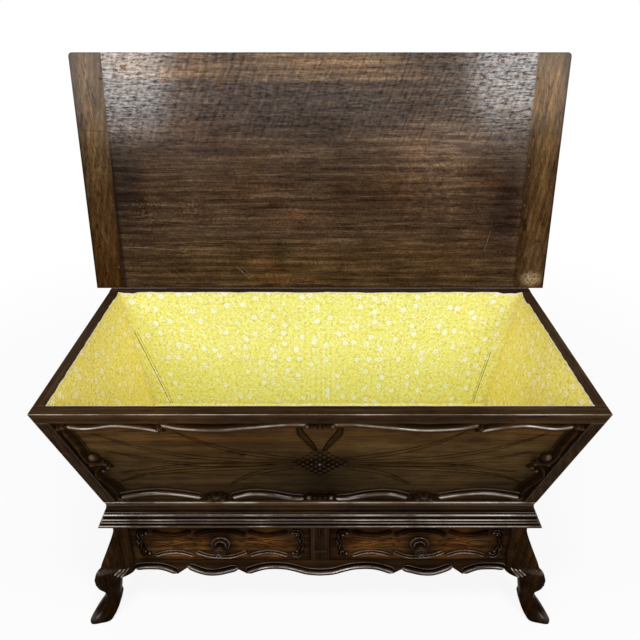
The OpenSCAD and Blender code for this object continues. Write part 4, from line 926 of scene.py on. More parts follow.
# A flat ground with its incised lines, closed behind. `blades` are pairs of grooves that bound a leaf. The ground gets
# painted shade along the near lines, and beyond the given border it is painted almost black
def carvedGround(name, outline, blades, nearLines, thick, spacing=14, bulge=0.7, paintedShadeBeyond=None):
    points, edges = [], []

    def addLine(line, closed=False):
        first = len(points)
        points.extend(map(tuple, line))
        edges.extend((i, i + 1) for i in range(first, len(points) - 1))
        if closed:
            edges.append((len(points) - 1, first))

    ring = []
    for i in range(len(outline)):
        a, b = np.array(outline[i], float), np.array(outline[(i + 1) % len(outline)], float)
        count = max(2, int(np.linalg.norm(b - a) / spacing))
        ring += [a + (b - a) * j / count for j in range(count)]
    addLine(ring, True)
    for blade in blades:
        path = blade["path"]
        across = sidesOf(path)
        gone = lengthGone(path)
        wide = bladeWidth(gone / gone[-1], blade)
        for sign in (-1, 1):
            for shift in (-1, 0, 1):
                addLine(path + across * (sign * (wide + shift * blade["groove"]))[:, None])
        addLine(path)
    low, high = np.min(outline, 0), np.max(outline, 0)
    for x in np.arange(low[0] + spacing / 2, high[0], spacing):
        for y in np.arange(low[1] + spacing / 2, high[1], spacing):
            points.append((x, y))
    found = delaunay_2d_cdt([Vector(p) for p in points], edges, [], 0, 0.02)
    flat = np.array([tuple(v) for v in found[0]])
    shape = np.array(outline, float)
    sides, centre = np.roll(shape, -1, 0) - shape, shape.mean(0)
    faces = [tuple(face) for face in found[2]
             if all(np.cross(sides, flat[list(face)].mean(0) - shape) * np.cross(sides, centre - shape) > 0)]
    level, grimeAndShade = np.zeros(len(flat)), np.zeros(len(flat))
    for blade in blades:
        apart, share = distanceTo(flat, blade["path"], 20)
        wide = bladeWidth(share, blade)
        fade = np.clip(np.minimum(share, 1 - share) / 0.06, 0, 1)
        off = np.abs(apart - wide) / blade["groove"]
        cut = np.clip(1 - off, 0, 1) * fade
        level = np.where(cut > 0, np.minimum(level, -blade["deep"] * cut), level)
        inside = (apart < wide - blade["groove"]) & (cut <= 0)
        level = np.where(inside, np.maximum(level, bulge * fade * (1 - (apart / np.maximum(wide, 0.1)) ** 2)), level)
        grimeAndShade = np.maximum(grimeAndShade, np.minimum(1, cut * 1.3))
    # Painted shade along the near lines
    for line, reach, amount in nearLines:
        apart, _ = distanceTo(flat, line, 60)
        grimeAndShade = np.maximum(grimeAndShade, amount * np.exp(-apart / reach))
    # Painted shade: beyond the border the ground goes almost black
    if paintedShadeBeyond:
        border = np.interp(-flat[:, 1], *zip(*paintedShadeBeyond))
        grimeAndShade = np.maximum(grimeAndShade, 0.97 * np.clip((np.abs(flat[:, 0]) - border) / 8 + 0.5, 0, 1))
    work = bmesh.new()
    layer, field = work.verts.layers.float.new("keptGrimeAndShade"), work.verts.layers.float.new("field")
    made = [work.verts.new((x, y, z)) for (x, y), z in zip(flat, level)]
    for vertex, value in zip(made, grimeAndShade):
        vertex[layer], vertex[field] = value, 1.0
    for face in faces:
        work.faces.new([made[i] for i in face])
    bmesh.ops.delete(work, geom=[v for v in work.verts if not v.link_faces], context="VERTS")
    bmesh.ops.recalc_face_normals(work, faces=work.faces)
    if sum(f.normal.z for f in work.faces) < 0:
        bmesh.ops.reverse_faces(work, faces=work.faces)
    border = [e for e in work.edges if e.is_boundary]
    walls = bmesh.ops.extrude_edge_only(work, edges=border)["geom"]
    for vertex in (g for g in walls if isinstance(g, bmesh.types.BMVert)):
        vertex.co.z = -thick
    bmesh.ops.holes_fill(work, edges=[e for e in work.edges if e.is_boundary], sides=0)
    bmesh.ops.recalc_face_normals(work, faces=work.faces)
    return finishedMesh(name, work)


def carvedPiece(name, mesh, body, material, slot, nodes, gain=1 / 160):
    kept = marksOf(mesh, "keptGrimeAndShade")
    piece = makePiece(name, mesh, body, material, slot, nodes, relief=False)
    markRelief(mesh, gain, keepGrimeAndShade=kept)
    markPaintedLight(mesh)
    if mesh.attributes.get("keptGrimeAndShade"):
        mesh.attributes.remove(mesh.attributes["keptGrimeAndShade"])
    return piece


# Carved front panel
# Lines of the left half, as distance across from the middle and down from the rim, mirrored for the right
cartouche = {
    "topOuter": [(-540, 45), (-499, 52), (-433, 42), (-361, 55), (-350, 63)],
    "topInner": [(-338, 42), (-331, 42), (-296, 52), (-222, 57), (-147, 48), (-72, 38), (-29, 38)],
    "lowOuter": [(-482, 323), (-430, 309), (-383, 304), (-335, 311), (-289, 324)],
    "lowInner": [(-211, 324), (-166, 308), (-120, 311), (-70, 327), (-39, 329)],
    "sideUpper": [(-551, 58), (-540, 90), (-533, 120), (-531, 150), (-524, 171), (-510, 180), (-497, 175),
                  (-491, 164)],
    "sideLower": [(-502, 196), (-512, 206), (-517, 228), (-506, 252), (-493, 272), (-486, 292), (-482, 312)],
    # Across, down, height, radius and flattening: the volute, two berries and the middle's buds
    "balls": [(-509, 153, 3.0, 12.5, 0.8), (-499, 209, 3.0, 5.0, 0.9), (-486, 196, 4.0, 4.5, 0.9),
              (-27, 44, 3.0, 7.0, 0.9), (-26, 316, 5.0, 9.5, 0.9)],
    "torusHigh": 10, "topRun": (15, 3.6, -0.9), "lowRun": (21, 7.0, 0.42), "panelThick": 17,
}
sprays = [
    [(-40, 170), (-105, 160), (-175, 143), (-224, 124), (-270, 100), (-318, 66)],
    [(-62, 176), (-140, 176), (-269, 163), (-386, 131), (-452, 98), (-500, 70)],
    [(-66, 183), (-150, 187), (-272, 189), (-322, 184), (-390, 168), (-452, 147), (-486, 138)],
    [(-84, 192), (-272, 193), (-342, 198), (-395, 210), (-469, 221)],
    [(-94, 200), (-276, 211), (-398, 228), (-457, 252), (-485, 270)],
    [(-56, 200), (-108, 211), (-151, 226), (-191, 253), (-215, 270)],
]
ribbons = [[(-8, 140), (-25, 104), (-40, 77), (-46, 50)]]


def downLine(points, step=3.0, flip=1):
    return smoothLine([(x * flip, -s) for x, s in points], step)


# Painted shade on the ground: a line of the left half, how far it reaches, and how dark it is
shades = [
    (cartouche["topOuter"], 9, 0.9), (cartouche["topInner"], 9, 0.9), (cartouche["lowOuter"], 10, 0.9),
    (cartouche["lowInner"], 10, 0.9), (cartouche["sideUpper"], 15, 1.0), (cartouche["sideLower"], 15, 1.0),
    ([(-560, 56), (-548, 105), (-538, 160), (-524, 196), (-520, 245), (-500, 300)], 24, 1.0),
    ([(-520, 120), (-500, 190), (-488, 240), (-470, 300)], 12, 0.8),
    (ribbons[0], 7, 0.85), ([(-280, 318), (-226, 318)], 18, 1.0), ([(-56, 178), (56, 178)], 20, 0.9),
    ([(0, 140), (0, 225)], 16, 0.9), ([(-26, 44), (26, 44)], 15, 1.0), ([(-26, 318), (26, 318)], 15, 1.0),
]
bladeForms = {"spray": {"wide": 6.0, "tip": 1.0, "lean": 0.62, "groove": 2.4, "deep": 2.6},
              "ribbon": {"wide": 7.0, "tip": 3.0, "lean": 1.4, "groove": 3.6, "deep": 3.0},
              "drawer": {"wide": 4.6, "tip": 0.8, "lean": 0.8, "groove": 1.9, "deep": 1.5}}
blades, panelLines = [], []
for flip in (1, -1):
    blades += [{"path": downLine(spray, 5.0, flip), **bladeForms["spray"]} for spray in sprays]
    blades += [{"path": downLine(ribbon, 4.0, flip), **bladeForms["ribbon"]} for ribbon in ribbons]
    panelLines += [(downLine(line, 8.0, flip), reach, dark) for line, reach, dark in shades]
acrossSlope = endSlope * math.cos(math.radians(trough["sideRake"]))


def groundHalf(s):
    return trough["rimWidth"] / 2 - s * acrossSlope - trough["stile"] - 0.2


top, bottom = trough["rail"] + 0.2, slopeLength - trough["bottomRail"] - 0.2
outline = [(-groundHalf(bottom), -bottom), (groundHalf(bottom), -bottom), (groundHalf(top), -top),
           (-groundHalf(top), -top)]
# Painted shade along the edges of the ground, under the frame
for a, b in zip(outline, outline[1:] + outline[:1]):
    panelLines.append((np.array([a, b], float), 7, 1.0))
sideLine = sorted((s, -x) for x, s in cartouche["sideUpper"][:6] + cartouche["sideLower"])
panelGround = carvedGround("panel_ground", outline, blades, panelLines, cartouche["panelThick"], paintedShadeBeyond=sideLine)
print("panel ground:", len(panelGround.polygons), "faces")

# A run's profile: its torus, with a painted highlight, and the fillet above it, with a painted highlight along the
# bottom runs and painted shade along the top ones; painted shade fills the hollows at its sides
def runProfile(wide, gap, fillet):
    half = wide / 2
    return (arch(wide, cartouche["torusHigh"])
            + [(-half - 0.8, 1.0, -0.9), (-half - gap, 0.8, -1.0), (-half - gap - 1.0, 3.8, fillet),
               (-half - gap - 3.8, 3.8, fillet), (-half - gap - 5.0, -1.5, -0.8), (half + 5.0, -1.5, -0.6),
               (half + 4.4, 1.8, -0.2), (half + 1.4, 1.6, -0.6), (half + 0.6, 0.8, -1.0)])


# A side scroll's profile: a ridge in light painted shade with a faint painted highlight, and a wide hollow beside it in
# painted shade
ridgeProfile = ([(-3.0 + 3.0 * math.cos(a), 3.0 + 5.0 * math.sin(a), 0.40 * math.exp(-((a - 1.3) / 0.4) ** 2) - 0.30)
                 for a in np.linspace(math.pi, 0.2, 13)]
                + [(1.5, 3.0, -0.9), (4.5, 1.2, -1.0), (9.0, 0.6, -1.0), (13.0, 0.9, -0.9), (15.5, 2.4, -0.4),
                   (17.0, 2.4, -0.2), (18.0, -1.5, -0.8), (-6.4, -1.5, -1.0)])
# The fillet lies on the upper side of a run, so its path goes rightwards
upperSide = [rightwards(downLine(cartouche[key], 3.0, flip)) for flip in (1, -1)
             for key in ("topOuter", "topInner", "lowOuter", "lowInner")]
topPaths = [p for p in upperSide if p[:, 1].mean() > -150]
lowPaths = [p for p in upperSide if p[:, 1].mean() < -150]
carving = [mouldingMesh("cartouche_top", topPaths, runProfile(*cartouche["topRun"]), panelWood, 6.0, 0.45),
           mouldingMesh("cartouche_low", lowPaths, runProfile(*cartouche["lowRun"]), panelWood, 6.0, 0.45)]
ridge = mouldingMesh("cartouche_scrolls", [downLine(cartouche[k]) for k in ("sideUpper", "sideLower")],
                     [(-p[0], *p[1:]) for p in ridgeProfile], panelWood, 9.0, 0.3)
carving += [ridge, moved(ridge, mirrorX)]


# A carved leaf of rounded lobes, with painted shade between them and a painted highlight on top
def lobedLeaf(x, s, wide, high, thick, lobes, turn=0.0, rubbed=0.6, rings=7, around=64):
    points, marks, middle = [(0, 0, thick)], [3 + rubbed], 1
    for i in range(1, rings + 1):
        r = i / rings
        for j in range(around):
            a = 2 * math.pi * j / around
            lobe = abs(math.cos(lobes * a / 2)) ** 0.6
            out = r * (0.66 + 0.34 * lobe)
            rise = thick * (1 - r ** 3) * (1 - min(1, r * 1.6) * 0.5 * (1 - lobe))
            points.append((out * math.cos(a) * wide / 2, out * math.sin(a) * high / 2, rise if i < rings else -1.5))
            marks.append(2.75 + (rubbed + 0.25) * max(0, 1 - 1.25 * r) * lobe
                         - min(1, r * 1.6) * (1 - lobe) - 0.3 * r ** 4)
    faces = [(0, middle + j, middle + (j + 1) % around) for j in range(around)]
    for i in range(rings - 1):
        a, b = middle + i * around, middle + (i + 1) * around
        faces += [(a + j, b + j, b + (j + 1) % around, a + (j + 1) % around) for j in range(around)]
    faces.append(tuple(range(middle + (rings - 1) * around, middle + rings * around))[::-1])
    mesh = meshOf("leaf", points, faces)
    setMark(mesh, "paintedLightAndShade", marks)
    made = joined("leaf", [mesh])
    made.transform(Matrix.Translation((x, -s, 0)) @ Matrix.Rotation(math.radians(turn), 4, "Z"))
    return made


# Place across and down, width, height, thickness, lobes and turn of each leaf of the left half
cornerLeaves = [
    (-252, 319, 64, 40, 9, 7, 12), (-268, 323, 30, 26, 12, 5, 40), (-236, 322, 28, 26, 12, 5, -30),
    (-345, 50, 34, 22, 9, 5, 25), (-338, 57, 16, 14, 11, 4, 0),
    (-549, 46, 34, 20, 9, 5, 20), (-560, 52, 18, 16, 8, 4, 0),
    (-484, 324, 40, 24, 9, 5, -20), (-470, 328, 24, 16, 7, 4, 0), (-489, 178, 20, 20, 9, 5, 30),
    (-483, 190, 16, 24, 9, 4, 60), (-494, 205, 16, 18, 9, 5, 0), (-522, 186, 16, 14, 7, 4, 0),
]
ornaments = [lobedLeaf(*leaf) for leaf in cornerLeaves]
ornaments += [ball(x, -s, *rest) for x, s, *rest in cartouche["balls"]]
half = joined("ornaments_half", ornaments)
carving += [half, moved(half, mirrorX)]
# In the middle above and below, a bud between the two balls: place down and size, and its leaves
buds = {"places": ((45, 0.85), (317, 1.0)),
        "leaves": ((0, 0, 22, 26, 12, 3, 90), (-13, 2, 18, 24, 8, 4, 50), (13, 2, 18, 24, 8, 4, -50),
                   (-34, 3, 16, 22, 6, 4, 70), (34, 3, 16, 22, 6, 4, -70))}
for s, size in buds["places"]:
    for x, down, wide, high, thick, lobes, turn in buds["leaves"]:
        carving.append(lobedLeaf(x * size, s + down, wide * size, high * size, thick * size, lobes, turn, 0.5))
# The rosette: a flower in a diamond of small leaves, as steps across and up, and their sizes
rosette = {"down": 181, "across": 9.6, "up": 8.8, "wide": 74, "high": 52, "leaf": (12.5, 11.0), "flower": (30, 30)}
turns = np.random.default_rng(5)
for i in range(-7, 8):
    for j in range(-5, 6):
        x, y = i * rosette["across"], j * rosette["up"]
        far = abs(x) / rosette["wide"] + abs(y) / rosette["high"]
        if (i + j) % 2 == 0 and 0.25 < far < 1.02:
            wide, high = (size * (1.1 - 0.4 * far) for size in rosette["leaf"])
            carving.append(lobedLeaf(x, rosette["down"] - y, wide, high, 6.5 - 2.5 * far, 3 + (i + j) % 3,
                                     turns.uniform(0, 90), 0.72, 5, 30))
carving.append(lobedLeaf(0, rosette["down"], *rosette["flower"], 7.0, 6, 0, 0.6, 7, 60))
carving.append(ball(0, -rosette["down"], 4.0, 5.0))
carvedFront = joined("carved_front", [panelGround] + carving, 1e-5, closed=False)
carvedFront.transform(onGround)
carvedPiece("trough_panel_carved", carvedFront, "carcass", panelWood, "carved_walnut", ["trough_panel"])
print("panel carved:", len(carvedFront.polygons), "faces")

# Trough boards
# Nodes, body, material, slot, rounding, and the wear and dirt of their arrises; strong wear there also paints a
# highlight
boardFinish = [
    (["trough_rail_top"], "carcass", frameAlongX, "carcass_walnut", 1.8, 1.0, 0.0),
    # The bottom rail's wide chamfer is marked so strongly that it carries a painted highlight
    (["trough_rail_bottom"], "carcass", frameAlongX, "carcass_walnut", 7.0, 0.92, 0.0),
    (["trough_stile_left", "trough_stile_right"], "carcass", frameUp, "carcass_walnut", 1.6, 0.3, 0.0),
    (["trough_back"], "carcass", frameAlongX, "carcass_walnut", 1.6, 0.1, 0.0),
    (["trough_end_left", "trough_end_right"], "carcass", frameAlongY, "carcass_walnut", 2.0, 0.2, 0.0),
    (["stand_top_rail"], "carcass", darkAlongX, "dark_walnut", 1.2, 0.3, 0.0),
    (["drawer_divider"], "carcass", darkUp, "dark_walnut", 1.0, 0.3, 0.0),
    (["lid_plank_front", "lid_plank_back"], "lid", lidWood, "lid_walnut", 0.8, 0.0, 0.9),
    (["lid_cleat_left", "lid_cleat_right"], "lid", cleatWood, "cleat_walnut", 1.8, 0.0, 0.8),
]
for nodes, *finish in boardFinish:
    for node in nodes:
        boardFromCad(node, *finish)
print("boards made")


# Moulded foot and cornice, mitred at the front corners
# Outlines run upwards on the outside: distance out of the face, height, and the painted highlight or painted shade
# along that line
base, footTop = trough["base"], trough["footTop"]
footProfile = ([(-40, base), (0, base, -1), (1.0, base + 0.6, -1), (4.0, base + 1.0, -0.6)]
               + [(4.0 + 6.0 * math.cos(a), base + 6.4 + 5.4 * math.sin(a),
                   1.1 * math.exp(-((a - 0.7) / 0.6) ** 2) - 0.2) for a in np.linspace(-1.4, 1.45, 12)]
               + [(4.2, base + 12.2, -1), (4.0, base + 13.4, -1), (5.6, base + 14.0, 0.25), (5.9, base + 15.4, 0.5),
                  (5.2, base + 16.4, 0.1), (1.2, base + 17.6, -0.2), (0.6, base + 19.6, -0.9), (0, base + 20.4, 0.1),
                  (0, footTop - 1.2, 0), (-1.2, footTop, 0.4), (-28, footTop), (-28, footTop - 16),
                  (-40, footTop - 16)])
corniceLow = base - 22
corniceProfile = [(x, corniceLow + z, mark) for x, z, mark in (
    (0, 0, -1), (23.3, 0, -0.5), (24.5, 1.2, -0.2), (24.5, 4.6, 0.3), (24.2, 5.9, 1.0), (22.9, 6.5, 0.9),
    (20.0, 6.8, -0.8), (18.6, 8.2, -1), (18.2, 10.2, -0.2), (18.0, 11.4, 0.95), (16.6, 12.4, 0.5),
    (14.8, 13.4, -0.8), (14.2, 15.0, -0.9), (15.2, 16.4, 0), (15.8, 18.0, 0.85), (15.2, 19.6, 1.0),
    (13.4, 20.8, 0), (12.0, 21, -1), (0, 21, -1))]


def stripMeshes(profile, half, y, yEnd):
    corner = [(half + p[0], y - p[0], p[1]) for p in profile]
    far = [(half + p[0], yEnd, p[1]) for p in profile]
    marks = [3 + (p[2] if len(p) > 2 else 0) for p in profile] * 2
    n = len(profile)

    def strip(a, b):
        faces = [(i, (i + 1) % n, n + (i + 1) % n, n + i) for i in range(n)]
        mesh = meshOf("strip", a + b, faces + [tuple(range(n)), tuple(range(2 * n - 1, n - 1, -1))])
        setMark(mesh, "paintedLightAndShade", marks)
        return joined("strip", [mesh])

    front = strip([(-x, yy, z) for x, yy, z in corner], corner)
    side = strip(corner, far)
    return front, side


for name, profile, half, y, yEnd in (
        ("foot", footProfile, halfAt(footTop), frontAt(footTop), backAt(footTop)),
        ("cornice", corniceProfile, stand["postX"], stand["postFront"], stand["postBack"])):
    front, side = stripMeshes(profile, half, y, yEnd)
    for end, mesh, material in (("front", front, darkAlongX), ("left", moved(side, mirrorX), darkAlongY),
                                ("right", side, darkAlongY)):
        makePiece(f"{name}_{end}_moulded", mesh, "carcass", material, "dark_walnut", [f"{name}_{end}"],
                  sharp=32, gain=1 / 200)
print("mouldings made")

# Cabriole legs
# Rows are height, reach of the outer corner, depth from it to the inner one, reach of the side faces, roundness
# and how far the row droops towards the sides
legRows = [
    (0, 85, 60, 72, 0.36, 0), (5.3, 86, 64, 73, 0.40, 0), (12, 82.5, 65, 70, 0.42, 0), (21, 74.5, 62, 64, 0.43, 0),
    (33, 62, 54.5, 55, 0.44, 0), (43.5, 53.4, 48.4, 48.4, 0.45, 0), (51, 47.7, 44, 43, 0.45, 0),
    (59, 45.4, 40.4, 39.2, 0.45, 0), (70, 45.8, 42.2, 39, 0.45, 0), (80, 49.1, 47.1, 39, 0.44, 0),
    (92, 55.5, 54.8, 37, 0.43, 0), (102, 59.8, 61.2, 32, 0.42, 0), (108, 62.2, 68.2, 28, 0.42, 1),
    (114, 65, 77, 23.5, 0.42, 3.5), (120, 68, 91, 18.5, 0.42, 8), (127, 70, 104, 14.5, 0.42, 13),
    (136, 70.5, 107.5, 12, 0.41, 17),
    (146, 67.5, 104.5, 10, 0.40, 22), (154, 64, 101, 9, 0.38, 25), (160, 59.5, 96.5, 8.7, 0.36, 26),
    (163.5, 54.5, 91.5, 8, 0.33, 27), (166, 48, 85, 6, 0.30, 27), (172, 43.5, 80.5, 5, 0.26, 26),
    (181, 39, 76, 4.4, 0.24, 23), (196, 29.5, 66.5, 3, 0.17, 17), (225, 14.5, 51.5, 1.4, 0.10, 7),
    (243, 6.5, 43.5, 0.5, 0.06, 3), (262, 1, 38, 0, 0.05, 0), (316, 0, 37, 0, 0.05, 0),
]


# A curve through rows that never overshoots them
def easedRows(rows, heights):
    rows = np.array(rows, float)
    z, values = rows[:, 0], rows[:, 1:]
    gaps = np.diff(z)
    slopes = np.diff(values, axis=0) / gaps[:, None]
    tangents = np.zeros_like(values)
    for i in range(1, len(z) - 1):
        a, b = slopes[i - 1], slopes[i]
        same = a * b > 0
        w0, w1 = 2 * gaps[i] + gaps[i - 1], gaps[i] + 2 * gaps[i - 1]
        with np.errstate(divide="ignore", invalid="ignore"):
            mean = (w0 + w1) / (w0 / a + w1 / b)
        tangents[i] = np.where(same, mean, 0)
    tangents[0], tangents[-1] = slopes[0], slopes[-1]
    made = []
    for h in heights:
        i = int(np.clip(np.searchsorted(z, h) - 1, 0, len(z) - 2))
        t = (h - z[i]) / gaps[i]
        made.append((2 * t ** 3 - 3 * t ** 2 + 1) * values[i] + (t ** 3 - 2 * t ** 2 + t) * gaps[i] * tangents[i]
                    + (3 * t ** 2 - 2 * t ** 3) * values[i + 1] + (t ** 3 - t ** 2) * gaps[i] * tangents[i + 1])
    return np.array(made)


def cornerCurve(u, v, w, k, steps=9):
    t = np.linspace(0, 1, steps)[:, None]
    u, v, w = map(np.array, (u, v, w))
    return (v + (u - v) * k) * (1 - t) ** 2 + v * 2 * t * (1 - t) + (v + (w - v) * k) * t ** 2


def legMesh():
    heights = np.concatenate([np.linspace(0, 96, 54), np.linspace(98, 130, 40), np.linspace(132, 160, 18),
                              np.linspace(161, 168, 10), np.linspace(170, 262, 34), np.linspace(270, 316, 5)])
    points, marks = [], []
    for z, (reach, deep, face, k, droop) in zip(heights, easedRows(legRows, heights)):
        inner = max(-stand["post"], reach - deep)
        a, b, c, d = (inner, inner), (inner, face), (reach, reach), (face, inner)
        side = min(k * 0.8, 0.3)
        ring = np.concatenate([cornerCurve(d, a, b, min(k, 0.3)), cornerCurve(a, b, c, side), cornerCurve(b, c, d, k),
                               cornerCurve(c, d, a, side)])
        points += [(stand["postX"] + x, stand["postFront"] - y,
                    z - droop * (reach - min(x, y)) / (reach + stand["post"])) for x, y in ring]
        # Painted highlights on the knee's ledge, the toe and down the shin, and painted shade on the inner faces
        out = np.clip((ring.min(axis=1) - inner) / max(reach - inner, 1), 0, 1)
        ledge = 0.8 * math.exp(-((z - 160) / 4.5) ** 2)
        toe = 0.85 * math.exp(-((z - 16) / 8) ** 2) + 0.25 * math.exp(-((z - 80) / 30) ** 2)
        dark = 0.7 * math.exp(-((z - 112) / 16) ** 2)
        marks += list(3 + ledge * out ** 2.5 + toe * out ** 4 - dark * (1 - out) ** 2)
    mesh = meshOf("leg", points, tubeFaces(len(heights), len(points) // len(heights)))
    setMark(mesh, "paintedLightAndShade", marks)
    return joined("leg", [mesh])


# Short flutes carved on the knee, from the photograph's left leg: each pair is where one begins and ends there
kneeFlutes = {"ends": [((112.5, 575.5), (119.0, 569.5)), ((115.5, 577.0), (123.0, 569.0)),
                       ((119.0, 577.5), (127.0, 568.0))],
              "middle": 318.2, "level": 320, "focus": 610, "radius": 3.5}


def ridgeOn(centres, normals, radius, steps=12):
    points, count = [], len(centres)
    for i in range(count):
        along = (centres[min(i + 1, count - 1)] - centres[max(i - 1, 0)]).normalized()
        side = normals[i].cross(along).normalized()
        size = radius * max(0.12, math.sin(math.pi * i / (count - 1))) ** 0.6
        points += [centres[i] + side * size * math.cos(a) + normals[i] * size * math.sin(a)
                   for a in np.linspace(0, 2 * math.pi, steps, endpoint=False)]
    return joined("ridge", [meshOf("ridge", points, tubeFaces(count, steps))])


def flutesOn(carrier):
    skin = BVHTree.FromPolygons([v.co for v in carrier.vertices], [tuple(p.vertices) for p in carrier.polygons])
    eye = toFrame.inverted() @ Vector(camera["place"])
    view = Matrix.Rotation(math.radians(camera["pitch"]), 3, "X")
    made = []
    for (u0, v0), (u1, v1) in kneeFlutes["ends"]:
        hits = []
        for t in np.linspace(0, 1, 11):
            ray = view @ Vector((kneeFlutes["middle"] - u0 - (u1 - u0) * t,
                                 kneeFlutes["level"] - v0 - (v1 - v0) * t, -kneeFlutes["focus"]))
            place, normal, _, _ = skin.ray_cast(eye, ray.normalized())
            if place:
                hits.append((place, normal))
        if len(hits) > 3:
            made.append(ridgeOn([h[0] for h in hits], [h[1] for h in hits], kneeFlutes["radius"]))
    return made


leg = legMesh()
fluted = joined("leg_fluted", [leg] + flutesOn(leg), 1e-5, closed=False)
toBack = Matrix.Translation((0, stand["postFront"] + stand["postBack"], 0)) @ Matrix.Scale(-1, 4, (0, 1, 0))
for name, matrix in (("front_right", Matrix.Identity(4)), ("front_left", mirrorX), ("back_right", toBack),
                     ("back_left", toBack @ mirrorX)):
    shape = fluted if "front" in name else leg
    makePiece(f"leg_{name}_carved", moved(shape, matrix), "carcass", darkUp, "dark_walnut", [f"leg_{name}"],
              sharp=50, gain=1 / 120)
print("legs made")

# Scalloped apron and side boards
# Edge points of the right half, as distance from the middle and depth below the top
apron = {
    "half": 487.0, "runs": [
        [(0, 57.2), (34.1, 53.3), (66.2, 41.0), (92.0, 33.2), (126.1, 31.2), (154.9, 36.4), (193.8, 54.0)],
        [(216.0, 37.7), (240.1, 46.8), (269.8, 55.9), (298.0, 56.6), (324.8, 46.2), (350.2, 29.3)],
        [(379.9, 55.3), (414.9, 35.8), (445.1, 32.5), (470.0, 33.8), (487.0, 39.0)],
    ], "bead": 13.5, "high": 8.5, "lift": 7.5,
}
sideBoards = {
    "half": 176.8, "runs": [
        [(0, 57.2), (35.4, 51.4), (70.7, 34.5), (106.1, 37.7), (130.8, 54.0)],
        [(141.4, 41.0), (155.6, 32.5), (176.8, 39.0)],
    ],
}
# The bead's profile: a painted highlight on the bead, painted shade in the hollow above it, and a faint painted
# highlight on the fillet line above that
beadProfile = (arch(apron["bead"], apron["high"])
               + [(-7.0, 0.6, -1), (-9.0, 0.4, -1), (-12.0, 0.6, -1), (-15.0, 1.4, -0.7), (-17.0, 3.4, 0.6),
                  (-18.8, 3.4, 0.6), (-19.8, -1.5, -0.6), (7.0, -1.5, -1)])


def scalloped(runs, half, thick, topEdge, lift):
    right = [smoothLine([(x, -d) for x, d in run], 4.0) for run in runs]
    middle = np.concatenate([right[0][:0:-1] * (-1, 1), right[0]])
    beads = [middle] + right[1:] + [r[::-1] * (-1, 1) for r in right[1:]]
    edge = np.concatenate(right)
    outline = np.concatenate([edge[::-1] * (-1, 1), edge[1:]])
    shape = [(-half, topEdge)] + [tuple(p) for p in outline] + [(half, topEdge)]
    work = bmesh.new()
    front = [work.verts.new((x, y, 0)) for x, y in shape]
    face = work.faces.new(front)
    grown = bmesh.ops.extrude_face_region(work, geom=[face])["geom"]
    for vertex in (g for g in grown if isinstance(g, bmesh.types.BMVert)):
        vertex.co.z = -thick
    bmesh.ops.triangulate(work, faces=[f for f in work.faces if len(f.verts) > 4])
    bmesh.ops.recalc_face_normals(work, faces=work.faces)
    board = finishedMesh("board", work)
    # The hollow lies above the bead, so each path goes rightwards
    paths = [rightwards(b) + (0, lift) for b in beads]
    bead = mouldingMesh("scallop_bead", paths, beadProfile, darkAlongX, 11.0, 0.3)
    return board, bead


def scallopedMesh(name, place, *shape):
    made = joined(name, scalloped(*shape, apron["lift"]), 1e-5, closed=False)
    made.transform(place)
    return made


apronMesh = scallopedMesh("apron", onApron, apron["runs"], apron["half"], stand["railThick"], 0)
sideMesh = scallopedMesh("side_board", onSide, sideBoards["runs"], sideBoards["half"], stand["boardThick"],
                         trough["base"] - stand["apronTop"])
for node, mesh, material in (("apron_front", apronMesh, darkAlongX),
                             ("side_left", moved(sideMesh, mirrorX), darkAlongY),
                             ("side_right", sideMesh, darkAlongY)):
    makePiece(node + "_carved", mesh, "carcass", material, "dark_walnut", [node], gain=1 / 140)
print("apron and sides made")

# Drawers
# Lines of the lower right quarter of a drawer's front, from its middle and bottom edge
drawer = {
    "low": [(0, 15.4), (32, 19), (64.8, 35)],
    "arch": [(73, 20.5), (97, 30.7), (121, 34.6), (148, 30.7), (172, 20.5)],
    "end": [(184, 22), (198, 20), (206, 30), (203, 42), (209, 52), (204, 64)],
    "knob": [(0, 44), (3.2, 43.8), (5.6, 42.6), (6.4, 40.6), (5.4, 38.9), (8.6, 38.0), (13.6, 34.6), (16.8, 29.6),
             (17.3, 25.0), (15.8, 19.8), (12.2, 15.6), (9.4, 13.0), (8.8, 11.4), (10.6, 10.2), (13.4, 9.6),
             (14.4, 8.4), (13.4, 7.2), (13.0, 6.4), (19.0, 6.2), (22.4, 5.4), (24.0, 3.4), (23.4, 1.2), (22.6, 0)],
}
drawerSprays = [
    [(44, 64), (90, 66), (140, 52), (176, 44)],
    [(44, 70), (100, 78), (150, 84), (182, 92)],
    [(120, 64), (150, 67), (186, 66)],
    [(60, 58), (100, 50), (128, 44)],
    [(70, 76), (110, 92), (140, 102)],
]


